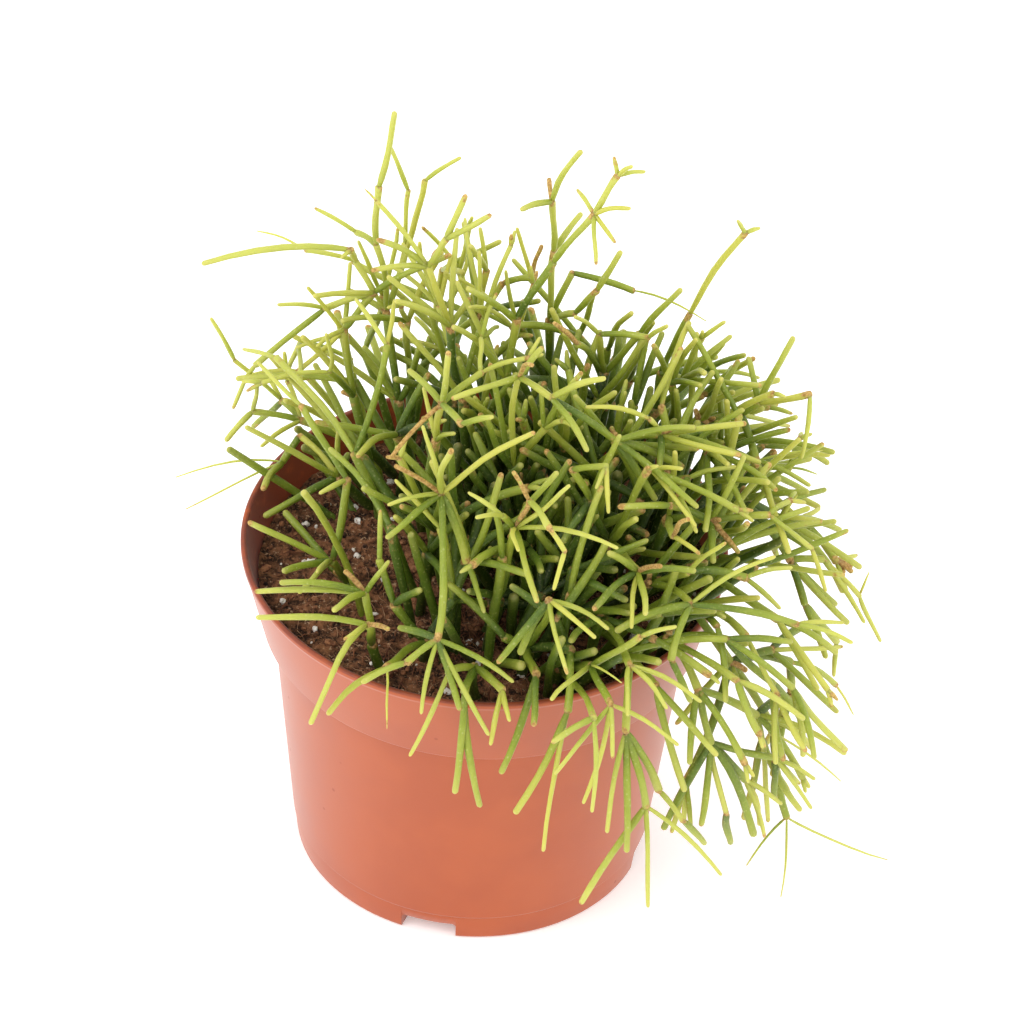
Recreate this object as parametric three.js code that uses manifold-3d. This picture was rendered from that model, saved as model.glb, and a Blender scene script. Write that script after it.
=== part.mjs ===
// A mistletoe cactus (Rhipsalis) in its 12 cm plastic nursery pot: the pot, the peat that fills it,
// and the rooted cuttings that stand in the peat and hang over its rim.
// Millimetres. The origin is the middle of the pot's foot on the ground, +Z is up, and -Y is the
// side over which the longest stems hang.

import * as THREE from "three";
import { mergeVertices } from "three/addons/utils/BufferGeometryUtils.js";
import Module from "manifold-3d";

const wasm = await Module();
wasm.setup();

// The pot: a tapered wall with a wider band under the rim, on a foot ring with four notches.
const POT_HEIGHT = 92;
const RIM_RADIUS = 60;
const BAND_FOOT_Z = 69.2;
const BAND_FOOT_RADIUS = 54.3;
const WALL_TOP_RADIUS = 51.4;
const FOOT_RADIUS = 44.1;
const WALL = 1.4;
const RIDGE_Z = 7.4;
const FLOOR_UNDERSIDE_Z = 3.6;
const FLOOR_THICKNESS = 1.6;
const PAD_RADIUS = 10;
const FOOT_RING_WIDTH = 4.6;
const NOTCH = { count: 4, first: -1.78, width: 14, height: 4, depth: 12 };
const DRAIN = { count: 8, radius: 2.5, ring: 27, depth: 6, sides: 8 };
const POT_SIDES = 40;
const LIP_BEAD = 0.8;

// The peat.
const PEAT_MIDDLE_Z = 82.6;
const PEAT_EDGE_Z = 81;
const SEAT_GAP = 0.3;

// The stems. Old ones stand in the peat, fresh ones are this year's growth.
const OLD = { radius: 1.25 };
const GREEN = { radius: 1.08 };
const FRESH = { radius: 0.9 };
const THIN = { radius: 0.5 };
const CORKY = { radius: 0.92 };
const STEM_SIDES = 3;
const STEM_GAP = 0.4;
const POT_GAP = 0.7;
const ROOT_Z = 73;
const ROOT_RADIUS = 1.8;
// A stem's neck as a share of its width, and how many of its radii it runs past its joint.
const NECK = 0.1;
const PAST_JOINT = 0.7;
// Stems over the straight length bow by a share of their length, in steps of up to this length.
const STRAIGHT_LENGTH = 14;
const STEM_BOW = 0.15;
const STEP_LENGTH = 26;
// The points along a stem that are tested against the other stems, and against the pot.
const STEM_PARTS = 4;
const FINE_PARTS = 20;

// The mound of stems: its middle, the egg shapes it fills (the mound itself, the high part at the
// back, the part that hangs over the rim in front and the low one at the left), and the height that
// its shoots keep above the ground, above the peat and over the lip.
const MOUND_MIDDLE = new THREE.Vector3(14, 0, 70);
const MOUNDS = [
  { x: 20, y: -2, z: 90, wide: 74, deep: 54, high: 71 },
  { x: -14, y: 20, z: 138, wide: 36, deep: 26, high: 36 },
  { x: 58, y: -40, z: 76, wide: 34, deep: 30, high: 36 },
  { x: -42, y: 16, z: 116, wide: 26, deep: 24, high: 24 },
];
const LOWEST_END = { overGround: 35, overPeat: 88, overLip: 97 };
const LIP_ROOM = { inside: 10, outside: 2 };
// The peat is bare to the left of x and in front of y, up to z, in each of two corners.
const BARE_CORNERS = [
  { x: -14, y: 14, z: 126 },
  { x: 6, y: -32, z: 112 },
];
// The core is where the mound is densest.
const CORE_MIDDLE = new THREE.Vector3(24, -4, 104);
const CORE_REACH = 46;
// The thickets: the joints within reach of a place carry up to a number of shoots.
const THICKETS = [
  { at: [14, -10, 98], reach: 26, shoots: 5, lengths: [14, 30], kind: GREEN, lean: 0, chance: 0.9 },
  { at: [-22, 14, 128], reach: 34, shoots: 4, lengths: [12, 24], kind: FRESH, lean: 0.5, chance: 0.2 },
  { at: [-44, 16, 116], reach: 22, shoots: 3, lengths: [12, 24], kind: FRESH, lean: 0.3, chance: 0.4 },
  { at: [48, -52, 78], reach: 34, shoots: 4, lengths: [14, 30], kind: GREEN, lean: 0, chance: 0.6 },
  { at: [72, -26, 80], reach: 26, shoots: 4, lengths: [14, 30], kind: GREEN, lean: 0, chance: 0.6 },
];
// Leading stems that end above this height carry more shoots.
const HUB_Z = 62;
// Stems are slimmer over a distance beyond the first one from the mound's middle, down to a share.
const SLIMMING = { from: 45, over: 120, least: 0.66 };
// The middle of the feet, from which the low stems point outwards.
const FEET_MIDDLE = { x: 6, y: -4 };
// The long old stems under the mound: how many a foot may have, the tries for each, how far they
// turn from straight outwards, and the ranges of their rise in radians and of their length.
const LOW_STEMS = { count: 4, tries: 20, turn: 1, rise: [0.5, 1.3], length: [34, 60] };
// Shoots round a joint: the tries for each, the least angle between two, how far each is tipped
// away from the stem it grows on, its share of uneven spacing, and its droop for each mm outwards.
const WHORL = { tries: 7, apart: 0.4, tipped: [0.2, 0.85], uneven: 0.6, droop: 0.011 };

// Each cutting: where its foot stands in the peat, then its stems in the order they grew. A stem is
// [the joint it grows from, x, y and z of its own end, kind]; joint 0 is the foot.
const CUTTINGS = [
  {
    name: "left_low",
    foot: [-23, 26],
    stems: [
      [0, -37, 16, 97, OLD], [1, -54, 6, 92, GREEN], [1, -37, 12, 116, FRESH],
      [1, -47, 24, 103, FRESH], [4, -51, 22, 96, GREEN], [5, -55, 8, 99, GREEN],
      [5, -77, 20, 91, THIN], [5, -74, 14, 86, THIN], [1, -35, 22, 99, GREEN],
    ],
  },
  {
    name: "left_high",
    foot: [-20, 38],
    stems: [
      [0, -31, 30, 96, OLD], [1, -47, 30, 103, GREEN], [2, -59, 30, 105, GREEN],
      [3, -65, 26, 99, GREEN], [2, -52, 36, 104, GREEN], [5, -64, 36, 116, FRESH],
      [6, -70, 38, 127, FRESH], [2, -51, 40, 107, FRESH], [8, -52, 42, 114, FRESH],
      [8, -48, 36, 123, FRESH], [3, -58, 26, 117, FRESH], [2, -56, 22, 101, FRESH],
      [5, -57, 42, 108, FRESH], [5, -59, 40, 92, GREEN],
    ],
  },
  {
    name: "top_left_a",
    foot: [-26, 16],
    stems: [
      [0, -34, 22, 118, OLD], [1, -37, 26, 136, OLD], [2, -30, 26, 148, GREEN],
      [3, -44, 16, 154, GREEN], [3, -42, 30, 139, GREEN], [5, -53, 28, 141, FRESH],
      [3, -35, 28, 156, GREEN], [7, -47, 26, 160, FRESH], [8, -59, 30, 162, THIN],
      [7, -36, 22, 164, GREEN], [10, -71, 14, 164, GREEN], [2, -43, 18, 137, FRESH],
      [2, -48, 26, 122, FRESH], [1, -40, 14, 132, GREEN],
    ],
  },
  {
    name: "top_left_b",
    foot: [-12, 22],
    stems: [
      [0, -23, 26, 114, OLD], [1, -27, 30, 139, OLD], [2, -30, 28, 161, GREEN],
      [3, -30, 28, 179, GREEN], [4, -27, 30, 200, GREEN], [3, -35, 34, 160, GREEN],
      [6, -45, 36, 165, FRESH], [2, -23, 38, 152, GREEN], [8, -23, 40, 169, FRESH],
      [9, -28, 42, 181, FRESH], [8, -19, 34, 177, GREEN], [11, -11, 32, 186, FRESH],
      [2, -36, 36, 140, GREEN], [1, -18, 18, 139, GREEN], [1, -32, 36, 122, GREEN],
    ],
  },
  {
    name: "top_left_c",
    foot: [-4, 8],
    stems: [
      [0, -7, 10, 129, OLD], [1, -11, 12, 150, OLD], [2, -17, 12, 168, GREEN],
      [3, -30, 16, 184, FRESH], [4, -33, 18, 186, THIN], [3, -13, 8, 180, GREEN],
      [6, -3, 4, 191, GREEN], [6, -9, 12, 190, GREEN], [3, -29, 10, 177, GREEN],
      [3, -30, 6, 171, GREEN], [3, -15, 20, 167, CORKY], [2, -24, 2, 165, GREEN],
      [2, -7, 20, 152, GREEN],
    ],
  },
  {
    name: "top_mid_a",
    foot: [6, 26],
    stems: [
      [0, -3, 28, 121, OLD], [1, -4, 28, 139, GREEN], [2, -3, 28, 155, GREEN],
      [3, -5, 30, 166, FRESH], [3, -7, 22, 167, GREEN], [2, -12, 34, 139, GREEN],
      [6, -7, 38, 154, FRESH], [2, 1, 32, 148, GREEN], [8, 8, 30, 152, GREEN],
      [9, 4, 32, 165, FRESH], [9, 10, 26, 165, CORKY], [1, -13, 36, 123, GREEN],
      [1, 5, 22, 140, GREEN],
    ],
  },
  {
    name: "top_mid_b",
    foot: [12, 14],
    stems: [
      [0, 3, 10, 136, OLD], [1, 5, 10, 155, OLD], [2, 13, 10, 173, OLD], [3, 22, 8, 190, GREEN],
      [4, 27, 8, 202, GREEN], [5, 26, 8, 207, FRESH], [5, 30, 4, 208, FRESH],
      [5, 33, 10, 202, FRESH], [4, 30, 2, 197, FRESH], [4, 27, 2, 187, FRESH],
      [4, 23, -4, 185, FRESH], [4, 18, 14, 192, FRESH], [3, 19, 22, 174, GREEN],
      [2, -7, 2, 170, GREEN],
    ],
  },
  {
    name: "top_mid_c",
    foot: [20, 30],
    stems: [
      [0, 13, 30, 120, OLD], [1, 13, 30, 139, OLD], [2, 13, 28, 162, GREEN],
      [3, 12, 26, 179, GREEN], [4, 18, 24, 196, GREEN], [4, 5, 20, 181, GREEN],
      [4, 11, 32, 181, CORKY], [3, 19, 34, 169, GREEN], [2, 18, 34, 151, GREEN],
      [9, 33, 32, 148, GREEN], [10, 51, 28, 143, THIN], [2, 19, 22, 148, GREEN],
      [12, 24, 20, 157, GREEN], [13, 29, 20, 169, GREEN], [1, 4, 40, 121, GREEN],
    ],
  },
  {
    name: "back_right_a",
    foot: [28, 14],
    stems: [
      [0, 26, 14, 128, OLD], [1, 27, 18, 133, OLD], [2, 35, 18, 146, GREEN],
      [3, 44, 18, 160, GREEN], [2, 25, 12, 150, GREEN], [5, 37, 8, 153, GREEN],
      [6, 41, 4, 160, FRESH], [5, 19, 2, 163, FRESH], [2, 20, 4, 153, GREEN],
      [9, 14, -2, 164, CORKY], [1, 16, 24, 125, GREEN],
    ],
  },
  {
    name: "back_right_b",
    foot: [40, 20],
    stems: [
      [0, 40, 22, 119, OLD], [1, 41, 24, 129, GREEN], [2, 47, 24, 148, GREEN],
      [3, 59, 24, 174, GREEN], [4, 57, 22, 179, FRESH], [4, 62, 26, 174, FRESH],
      [2, 46, 16, 134, GREEN], [7, 50, 16, 147, GREEN], [8, 55, 14, 154, FRESH],
      [7, 57, 22, 143, GREEN], [2, 51, 30, 125, GREEN], [11, 61, 30, 131, GREEN],
      [11, 65, 34, 121, FRESH],
    ],
  },
  {
    name: "right_back",
    foot: [44, 8],
    stems: [
      [0, 51, 10, 125, OLD], [1, 61, 12, 127, GREEN], [2, 65, 12, 131, GREEN],
      [3, 72, 14, 150, GREEN], [3, 77, 8, 138, GREEN], [5, 76, 0, 125, FRESH],
      [3, 62, 20, 138, GREEN], [2, 65, 2, 121, GREEN], [8, 78, 0, 116, FRESH],
      [8, 81, 6, 122, THIN], [1, 55, 2, 146, GREEN], [1, 53, -6, 129, GREEN],
      [2, 73, 22, 116, FRESH],
    ],
  },
  {
    name: "crown_a",
    foot: [8, -4],
    stems: [
      [0, 6, -12, 126, OLD], [1, 6, -18, 160, GREEN], [2, -9, -26, 159, GREEN],
      [2, 14, -24, 159, GREEN], [4, 26, -28, 169, GREEN], [4, 23, -34, 152, GREEN],
      [2, 11, -12, 164, GREEN], [2, 9, -28, 172, CORKY], [4, 30, -22, 145, GREEN],
      [1, -1, -22, 150, GREEN], [1, 13, -14, 141, GREEN],
    ],
  },
  {
    name: "crown_b",
    foot: [-8, -5],
    stems: [
      [0, -13, -16, 137, OLD], [1, -12, -20, 152, GREEN], [2, -11, -18, 166, GREEN],
      [2, -23, -28, 142, CORKY], [2, -7, -32, 156, GREEN], [5, 0, -36, 162, GREEN],
      [2, -20, -12, 155, GREEN], [2, -3, -10, 154, GREEN],
    ],
  },
  {
    name: "star_left",
    foot: [-12, -12],
    stems: [
      [0, -12, -20, 112, OLD], [1, -11, -32, 134, GREEN], [2, -16, -34, 156, FRESH],
      [2, -9, -42, 156, GREEN], [2, 10, -40, 161, GREEN], [2, -22, -38, 147, CORKY],
      [2, -23, -38, 135, FRESH], [2, -23, -44, 130, GREEN], [2, -10, -62, 114, GREEN],
      [9, -17, -64, 108, GREEN], [10, -27, -66, 103, GREEN], [9, -13, -70, 98, FRESH],
      [9, -4, -68, 98, GREEN], [9, 8, -64, 104, FRESH], [9, 3, -72, 94, FRESH],
      [2, -4, -40, 120, GREEN], [9, -19, -54, 110, GREEN],
    ],
  },
  {
    name: "front_left_a",
    foot: [-28, -18],
    stems: [
      [0, -33, -10, 85, OLD], [1, -37, -16, 97, GREEN], [2, -57, -16, 108, GREEN],
      [2, -48, -26, 102, GREEN], [2, -34, -12, 120, GREEN], [2, -40, -28, 104, FRESH],
      [2, -44, -30, 99, FRESH], [5, -40, -16, 119, FRESH],
    ],
  },
  {
    name: "front_left_b",
    foot: [-22, -34],
    stems: [
      [0, -26, -38, 90, OLD], [1, -28, -42, 110, GREEN], [2, -48, -42, 112, GREEN],
      [2, -54, -40, 107, GREEN], [2, -23, -42, 120, FRESH], [2, -33, -38, 113, CORKY],
      [1, -27, -50, 107, GREEN], [7, -53, -54, 111, GREEN], [7, -39, -77, 99, GREEN],
      [7, -32, -60, 111, FRESH], [2, -35, -52, 113, GREEN], [7, -22, -58, 113, CORKY],
    ],
  },
  {
    name: "front_left_c",
    foot: [-14, -30],
    stems: [
      [0, -13, -38, 92, OLD], [1, -21, -40, 105, GREEN], [2, -25, -38, 117, GREEN],
      [2, -15, -48, 117, GREEN], [1, -7, -36, 104, GREEN], [5, -3, -36, 117, GREEN],
      [5, 1, -31, 99, FRESH], [1, -22, -56, 99, GREEN], [8, -21, -72, 94, THIN],
      [8, -35, -70, 96, GREEN],
    ],
  },
  {
    name: "front_mid_a",
    foot: [2, -28],
    stems: [
      [0, 4, -34, 103, OLD], [1, 7, -42, 133, GREEN], [2, 4, -46, 140, GREEN],
      [3, -4, -42, 143, FRESH], [3, -2, -54, 146, FRESH], [2, 16, -46, 154, GREEN],
      [2, 19, -54, 157, FRESH], [2, 8, -58, 140, FRESH], [2, 13, -62, 128, GREEN],
      [2, 10, -48, 147, CORKY], [10, 6, -50, 157, CORKY], [2, 31, -60, 144, FRESH],
      [1, -3, -44, 114, GREEN], [10, 15, -60, 149, GREEN], [14, 19, -60, 142, FRESH],
      [15, 17, -64, 134, FRESH],
    ],
  },
  {
    name: "front_mid_b",
    foot: [10, -34],
    stems: [
      [0, 12, -40, 93, OLD], [1, 16, -56, 123, GREEN], [2, 21, -70, 113, FRESH],
      [2, 27, -66, 121, FRESH], [2, 30, -58, 117, FRESH], [2, 10, -58, 108, GREEN],
      [2, 5, -64, 110, GREEN], [1, 14, -58, 101, GREEN], [8, 14, -70, 96, GREEN],
      [8, 7, -72, 82, GREEN], [1, 22, -52, 104, OLD], [11, 22, -66, 97, GREEN],
      [12, 11, -74, 71, GREEN], [12, 18, -76, 61, FRESH], [1, 6, -44, 100, GREEN],
    ],
  },
  {
    name: "front_drape",
    foot: [2, -44],
    stems: [
      [0, -1, -52, 97, OLD], [1, -3, -62, 98, GREEN], [2, -4, -70, 73, GREEN],
      [2, 2, -70, 69, GREEN], [1, -7, -60, 102, GREEN], [5, -15, -72, 86, FRESH],
      [1, 6, -62, 99, GREEN], [7, 8, -70, 97, FRESH], [7, 4, -72, 91, FRESH],
    ],
  },
  {
    name: "front_right_a",
    foot: [16, -40],
    stems: [
      [0, 20, -40, 87, OLD], [1, 27, -56, 103, GREEN], [2, 18, -72, 106, FRESH],
      [2, 38, -62, 118, GREEN], [4, 46, -60, 120, FRESH], [2, 32, -72, 105, GREEN],
      [6, 20, -78, 88, FRESH], [6, 27, -78, 79, FRESH], [6, 33, -80, 96, FRESH],
      [6, 48, -78, 99, FRESH], [2, 34, -74, 114, THIN], [1, 28, -77, 105, GREEN],
      [12, 29, -82, 80, FRESH], [12, 19, -76, 96, GREEN],
    ],
  },
  {
    name: "front_right_b",
    foot: [24, -28],
    stems: [
      [0, 29, -40, 104, OLD], [1, 36, -62, 109, GREEN], [2, 53, -70, 106, FRESH],
      [2, 45, -74, 107, FRESH], [2, 36, -76, 106, FRESH], [2, 36, -70, 95, GREEN],
      [6, 42, -72, 73, GREEN], [7, 28, -80, 48, GREEN], [7, 44, -80, 48, FRESH],
      [7, 61, -74, 54, FRESH], [6, 33, -78, 70, FRESH], [6, 38, -78, 64, GREEN],
      [1, 22, -54, 109, GREEN], [1, 42, -50, 107, GREEN], [6, 45, -66, 73, GREEN],
    ],
  },
  {
    name: "right_mid_a",
    foot: [22, -12],
    stems: [
      [0, 30, -24, 115, OLD], [1, 37, -44, 123, GREEN], [2, 50, -46, 126, GREEN],
      [2, 36, -58, 118, FRESH], [2, 39, -60, 124, GREEN], [2, 42, -52, 132, CORKY],
      [2, 27, -58, 123, GREEN], [2, 30, -46, 130, GREEN], [1, 25, -28, 131, GREEN],
      [9, 20, -30, 142, GREEN], [10, 28, -34, 147, GREEN], [11, 26, -38, 144, FRESH],
      [11, 29, -42, 140, FRESH], [9, 19, -36, 125, GREEN],
    ],
  },
  {
    name: "right_mid_b",
    foot: [30, -4],
    stems: [
      [0, 37, -10, 117, OLD], [1, 30, -14, 138, GREEN], [2, 20, -16, 153, GREEN],
      [2, 39, -24, 138, GREEN], [2, 41, -14, 141, GREEN], [5, 38, -18, 149, FRESH],
      [6, 23, -22, 155, FRESH], [5, 45, -10, 138, FRESH], [5, 41, -22, 138, GREEN],
      [1, 48, -18, 131, GREEN], [10, 59, -14, 132, FRESH], [10, 46, -28, 134, GREEN],
      [1, 27, -8, 121, GREEN],
    ],
  },
  {
    name: "right_mid_c",
    foot: [38, -8],
    stems: [
      [0, 44, -18, 118, OLD], [1, 54, -24, 123, GREEN], [2, 61, -20, 140, GREEN],
      [2, 55, -36, 121, GREEN], [2, 61, -30, 119, CORKY], [2, 44, -32, 134, GREEN],
      [6, 32, -38, 138, GREEN], [2, 68, -24, 126, GREEN], [8, 79, -24, 116, FRESH],
      [9, 83, -26, 105, FRESH], [8, 73, -16, 124, FRESH], [1, 45, -36, 128, GREEN],
      [12, 51, -44, 130, FRESH], [12, 48, -46, 142, CORKY],
    ],
  },
  {
    name: "right_low_a",
    foot: [34, -20],
    stems: [
      [0, 40, -32, 109, OLD], [1, 50, -48, 117, GREEN], [2, 69, -42, 128, FRESH],
      [2, 76, -44, 109, GREEN], [4, 87, -38, 105, FRESH], [4, 89, -46, 106, FRESH],
      [2, 33, -54, 113, GREEN], [2, 46, -58, 108, GREEN], [8, 51, -62, 99, GREEN],
      [1, 49, -40, 120, GREEN], [10, 63, -36, 116, GREEN], [10, 57, -46, 135, FRESH],
    ],
  },
  {
    name: "right_low_b",
    foot: [42, -16],
    stems: [
      [0, 51, -28, 99, OLD], [1, 61, -36, 89, GREEN], [2, 49, -50, 81, FRESH],
      [2, 52, -52, 63, GREEN], [2, 70, -40, 68, FRESH], [2, 73, -32, 63, GREEN],
      [6, 78, -34, 37, GREEN], [7, 69, -40, 26, THIN], [7, 78, -40, 16, THIN],
      [7, 104, -28, 19, THIN], [6, 91, -24, 41, THIN], [2, 71, -30, 88, GREEN],
      [12, 88, -24, 85, FRESH], [2, 76, -26, 81, GREEN], [14, 77, -24, 70, GREEN],
      [15, 74, -28, 46, GREEN], [14, 88, -20, 69, FRESH], [17, 93, -18, 58, THIN],
    ],
  },
  {
    name: "right_far_a",
    foot: [46, 0],
    stems: [
      [0, 62, 0, 110, OLD], [1, 75, -4, 95, GREEN], [2, 83, -2, 94, GREEN], [3, 93, 0, 81, FRESH],
      [4, 99, 0, 67, FRESH], [4, 95, 4, 85, THIN], [3, 94, -8, 80, FRESH],
      [2, 79, -12, 88, GREEN], [8, 85, -16, 75, GREEN], [8, 88, -6, 71, GREEN],
      [10, 88, -8, 62, FRESH], [1, 72, 3, 102, GREEN], [12, 81, 3, 102, FRESH],
      [12, 76, 2, 112, FRESH],
    ],
  },
  {
    name: "right_far_b",
    foot: [40, 14],
    stems: [
      [0, 63, 14, 108, OLD], [1, 77, 10, 96, GREEN], [2, 87, 8, 85, GREEN], [3, 90, 4, 79, FRESH],
      [3, 92, 14, 82, FRESH], [2, 82, 18, 93, FRESH], [1, 74, 18, 106, GREEN],
      [7, 76, 24, 110, FRESH], [7, 81, 22, 101, THIN], [2, 72, 20, 78, GREEN],
    ],
  },
  {
    name: "right_hang",
    foot: [34, -26],
    stems: [
      [0, 45, -44, 102, OLD], [1, 53, -56, 97, GREEN], [2, 57, -58, 82, GREEN],
      [3, 73, -50, 71, GREEN], [3, 69, -58, 53, OLD], [3, 47, -66, 61, GREEN],
      [3, 56, -64, 61, GREEN], [3, 62, -60, 61, FRESH], [2, 68, -46, 81, GREEN],
      [9, 73, -44, 45, FRESH], [2, 52, -64, 81, GREEN], [9, 76, -34, 76, OLD],
      [3, 66, -54, 67, GREEN],
    ],
  },
];

// --- Solids ---

function solid(geometry) {
  const bare = geometry.clone();
  bare.deleteAttribute("normal");
  bare.deleteAttribute("uv");
  const merged = mergeVertices(bare, 1e-4);
  return new wasm.Manifold(
    new wasm.Mesh({
      numProp: 3,
      vertProperties: merged.attributes.position.array,
      triVerts: new Uint32Array(merged.index.array),
    }),
  );
}

function geometryOf(manifold) {
  const mesh = manifold.getMesh();
  const geometry = new THREE.BufferGeometry();
  geometry.setAttribute("position", new THREE.BufferAttribute(mesh.vertProperties, 3));
  geometry.setIndex(new THREE.BufferAttribute(mesh.triVerts, 1));
  return geometry;
}

// A solid of revolution about Z from its half section, given as [radius, height] pairs.
function turned(section, sides) {
  const points = section.map(([radius, height]) => new THREE.Vector2(radius, height));
  return solid(new THREE.LatheGeometry(points, sides).rotateX(Math.PI / 2));
}

function polygon(radius, sides) {
  const shape = new THREE.Shape();
  for (let i = 0; i < sides; i += 1) {
    const angle = (2 * Math.PI * i) / sides;
    const move = i === 0 ? "moveTo" : "lineTo";
    shape[move](radius * Math.cos(angle), radius * Math.sin(angle));
  }
  shape.closePath();
  return shape;
}

// A rod along a curve, drawn in to a narrow neck at its start.
function rod(start, middle, end, radius, neck, steps) {
  const extrudePath = new THREE.QuadraticBezierCurve3(start, middle, end);
  const section = polygon(radius, STEM_SIDES);
  const geometry = new THREE.ExtrudeGeometry(section, { steps, extrudePath });
  const places = geometry.attributes.position;
  const point = new THREE.Vector3();
  for (let i = 0; i < places.count; i += 1) {
    point.fromBufferAttribute(places, i);
    if (point.distanceTo(start) < 1.01 * radius) {
      point.lerp(start, 1 - neck / radius);
      places.setXYZ(i, point.x, point.y, point.z);
    }
  }
  return solid(geometry);
}

// --- The pot ---

function wallDrop(z) {
  return (RIM_RADIUS - BAND_FOOT_RADIUS) * ((POT_HEIGHT - z) / (POT_HEIGHT - BAND_FOOT_Z));
}

function makePot() {
  const floorTop = FLOOR_UNDERSIDE_Z + FLOOR_THICKNESS;
  const footInside = FOOT_RADIUS - FOOT_RING_WIDTH;
  const pot = turned(
    [
      [0, 0],
      [PAD_RADIUS, 0],
      [PAD_RADIUS + 0.6, FLOOR_UNDERSIDE_Z],
      [footInside - 0.6, FLOOR_UNDERSIDE_Z],
      [footInside, 0],
      [FOOT_RADIUS - 0.4, 0],
      [FOOT_RADIUS + 0.4, RIDGE_Z],
      [FOOT_RADIUS + 0.9, RIDGE_Z + 0.4],
      [WALL_TOP_RADIUS, BAND_FOOT_Z - 1.4],
      [BAND_FOOT_RADIUS, BAND_FOOT_Z],
      [RIM_RADIUS - 0.5, POT_HEIGHT - 2],
      [RIM_RADIUS, POT_HEIGHT - 1.2],
      [RIM_RADIUS - 0.3, POT_HEIGHT],
      [RIM_RADIUS - WALL, POT_HEIGHT],
      [BAND_FOOT_RADIUS - WALL, BAND_FOOT_Z],
      [WALL_TOP_RADIUS - WALL, BAND_FOOT_Z - 1.4],
      [FOOT_RADIUS - 1.2, floorTop],
      [0, floorTop],
    ],
    POT_SIDES,
  );
  const cuts = [];
  for (let i = 0; i < NOTCH.count; i += 1) {
    const angle = NOTCH.first + (2 * Math.PI * i) / NOTCH.count;
    const notch = new THREE.BoxGeometry(NOTCH.depth, NOTCH.width, 2 * NOTCH.height);
    cuts.push(notch.translate(FOOT_RADIUS, 0, 0).rotateZ(angle));
  }
  for (let i = 0; i < DRAIN.count; i += 1) {
    const angle = (2 * Math.PI * (i + 0.5)) / DRAIN.count;
    const drain = new THREE.CylinderGeometry(DRAIN.radius, DRAIN.radius, DRAIN.depth, DRAIN.sides);
    cuts.push(drain.rotateX(Math.PI / 2).translate(DRAIN.ring, 0, floorTop).rotateZ(angle));
  }
  return cuts.reduce((whole, cut) => whole.subtract(solid(cut)), pot);
}

// --- How the stems grow ---

// A repeatable source of numbers between 0 and 1, so that the plant grows the same way every time.
function numberSource(seed) {
  let state = seed;
  return () => {
    state = (state * 48271) % 2147483647;
    return state / 2147483647;
  };
}

function between(random, [low, high]) {
  return low + (high - low) * random();
}

function bowedMiddle(start, end, random) {
  const length = start.distanceTo(end);
  const bow = length > STRAIGHT_LENGTH ? STEM_BOW * length : 0;
  const x = (start.x + end.x) / 2 + bow * (random() - 0.5);
  const y = (start.y + end.y) / 2 + bow * (random() - 0.5);
  const z = (start.z + end.z) / 2 + bow * (random() - 0.5);
  return new THREE.Vector3(x, y, z);
}

function pointsAlong(start, middle, end, parts) {
  return new THREE.QuadraticBezierCurve3(start, middle, end).getPoints(parts);
}

function clampShare(share) {
  return Math.min(1, Math.max(0, share));
}

// The distance between two straight pieces, p1 to q1 and p2 to q2.
function pieceDistance(p1, q1, p2, q2) {
  const d1 = [q1.x - p1.x, q1.y - p1.y, q1.z - p1.z];
  const d2 = [q2.x - p2.x, q2.y - p2.y, q2.z - p2.z];
  const r = [p1.x - p2.x, p1.y - p2.y, p1.z - p2.z];
  const dot = (u, v) => u[0] * v[0] + u[1] * v[1] + u[2] * v[2];
  const a = dot(d1, d1) + 1e-9;
  const e = dot(d2, d2) + 1e-9;
  const f = dot(d2, r);
  const c = dot(d1, r);
  const b = dot(d1, d2);
  let s = clampShare((b * f - c * e) / Math.max(a * e - b * b, 1e-9));
  const t = clampShare((b * s + f) / e);
  s = clampShare((b * t - c) / a);
  return Math.hypot(...r.map((value, i) => value + d1[i] * s - d2[i] * t));
}

// Whether a stem keeps off the pot's lip, taken as a round bead, and off its wall, and off the peat
// that it doesn't stand in.
function clearsPot(points, radius, rooted) {
  const need = radius + POT_GAP;
  const bead = { out: RIM_RADIUS - WALL / 2, z: POT_HEIGHT - LIP_BEAD };
  return points.every((point, i) => {
    const out = Math.hypot(point.x, point.y);
    if (point.z >= bead.z) {
      return Math.hypot(out - bead.out, point.z - bead.z) >= need + LIP_BEAD;
    }
    const drop = Math.min(wallDrop(point.z), RIM_RADIUS - BAND_FOOT_RADIUS);
    if (out >= bead.out - drop) {
      return out >= RIM_RADIUS - drop + need;
    }
    if (out > RIM_RADIUS - WALL - drop - need) {
      return false;
    }
    const inPeat = point.z < PEAT_MIDDLE_Z + need;
    return !inPeat || (rooted && i < points.length - 1);
  });
}

function insideEgg({ x, y, z }, egg) {
  const aside = (x - egg.x) / egg.wide;
  const back = (y - egg.y) / egg.deep;
  const up = (z - egg.z) / egg.high;
  return aside ** 2 + back ** 2 + up ** 2 <= 1;
}

function overBarePeat({ x, y, z }) {
  return BARE_CORNERS.some((corner) => x < corner.x && y < corner.y && z < corner.z);
}

// The room that the shorter shoots fill: the mound, clear of the lip, the peat and the ground.
function insideMound(point) {
  const out = Math.hypot(point.x, point.y);
  if (!MOUNDS.some((egg) => insideEgg(point, egg))) {
    return false;
  }
  if (point.z < LOWEST_END.overLip && out < RIM_RADIUS + LIP_ROOM.outside) {
    return point.z > LOWEST_END.overPeat && out < RIM_RADIUS - LIP_ROOM.inside;
  }
  return point.z > LOWEST_END.overGround && !overBarePeat(point);
}

const joints = [];
const stems = [];

function addJoint(place, from, cutting) {
  joints.push({ place, from, cutting, shoots: [] });
  return joints.length - 1;
}

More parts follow.
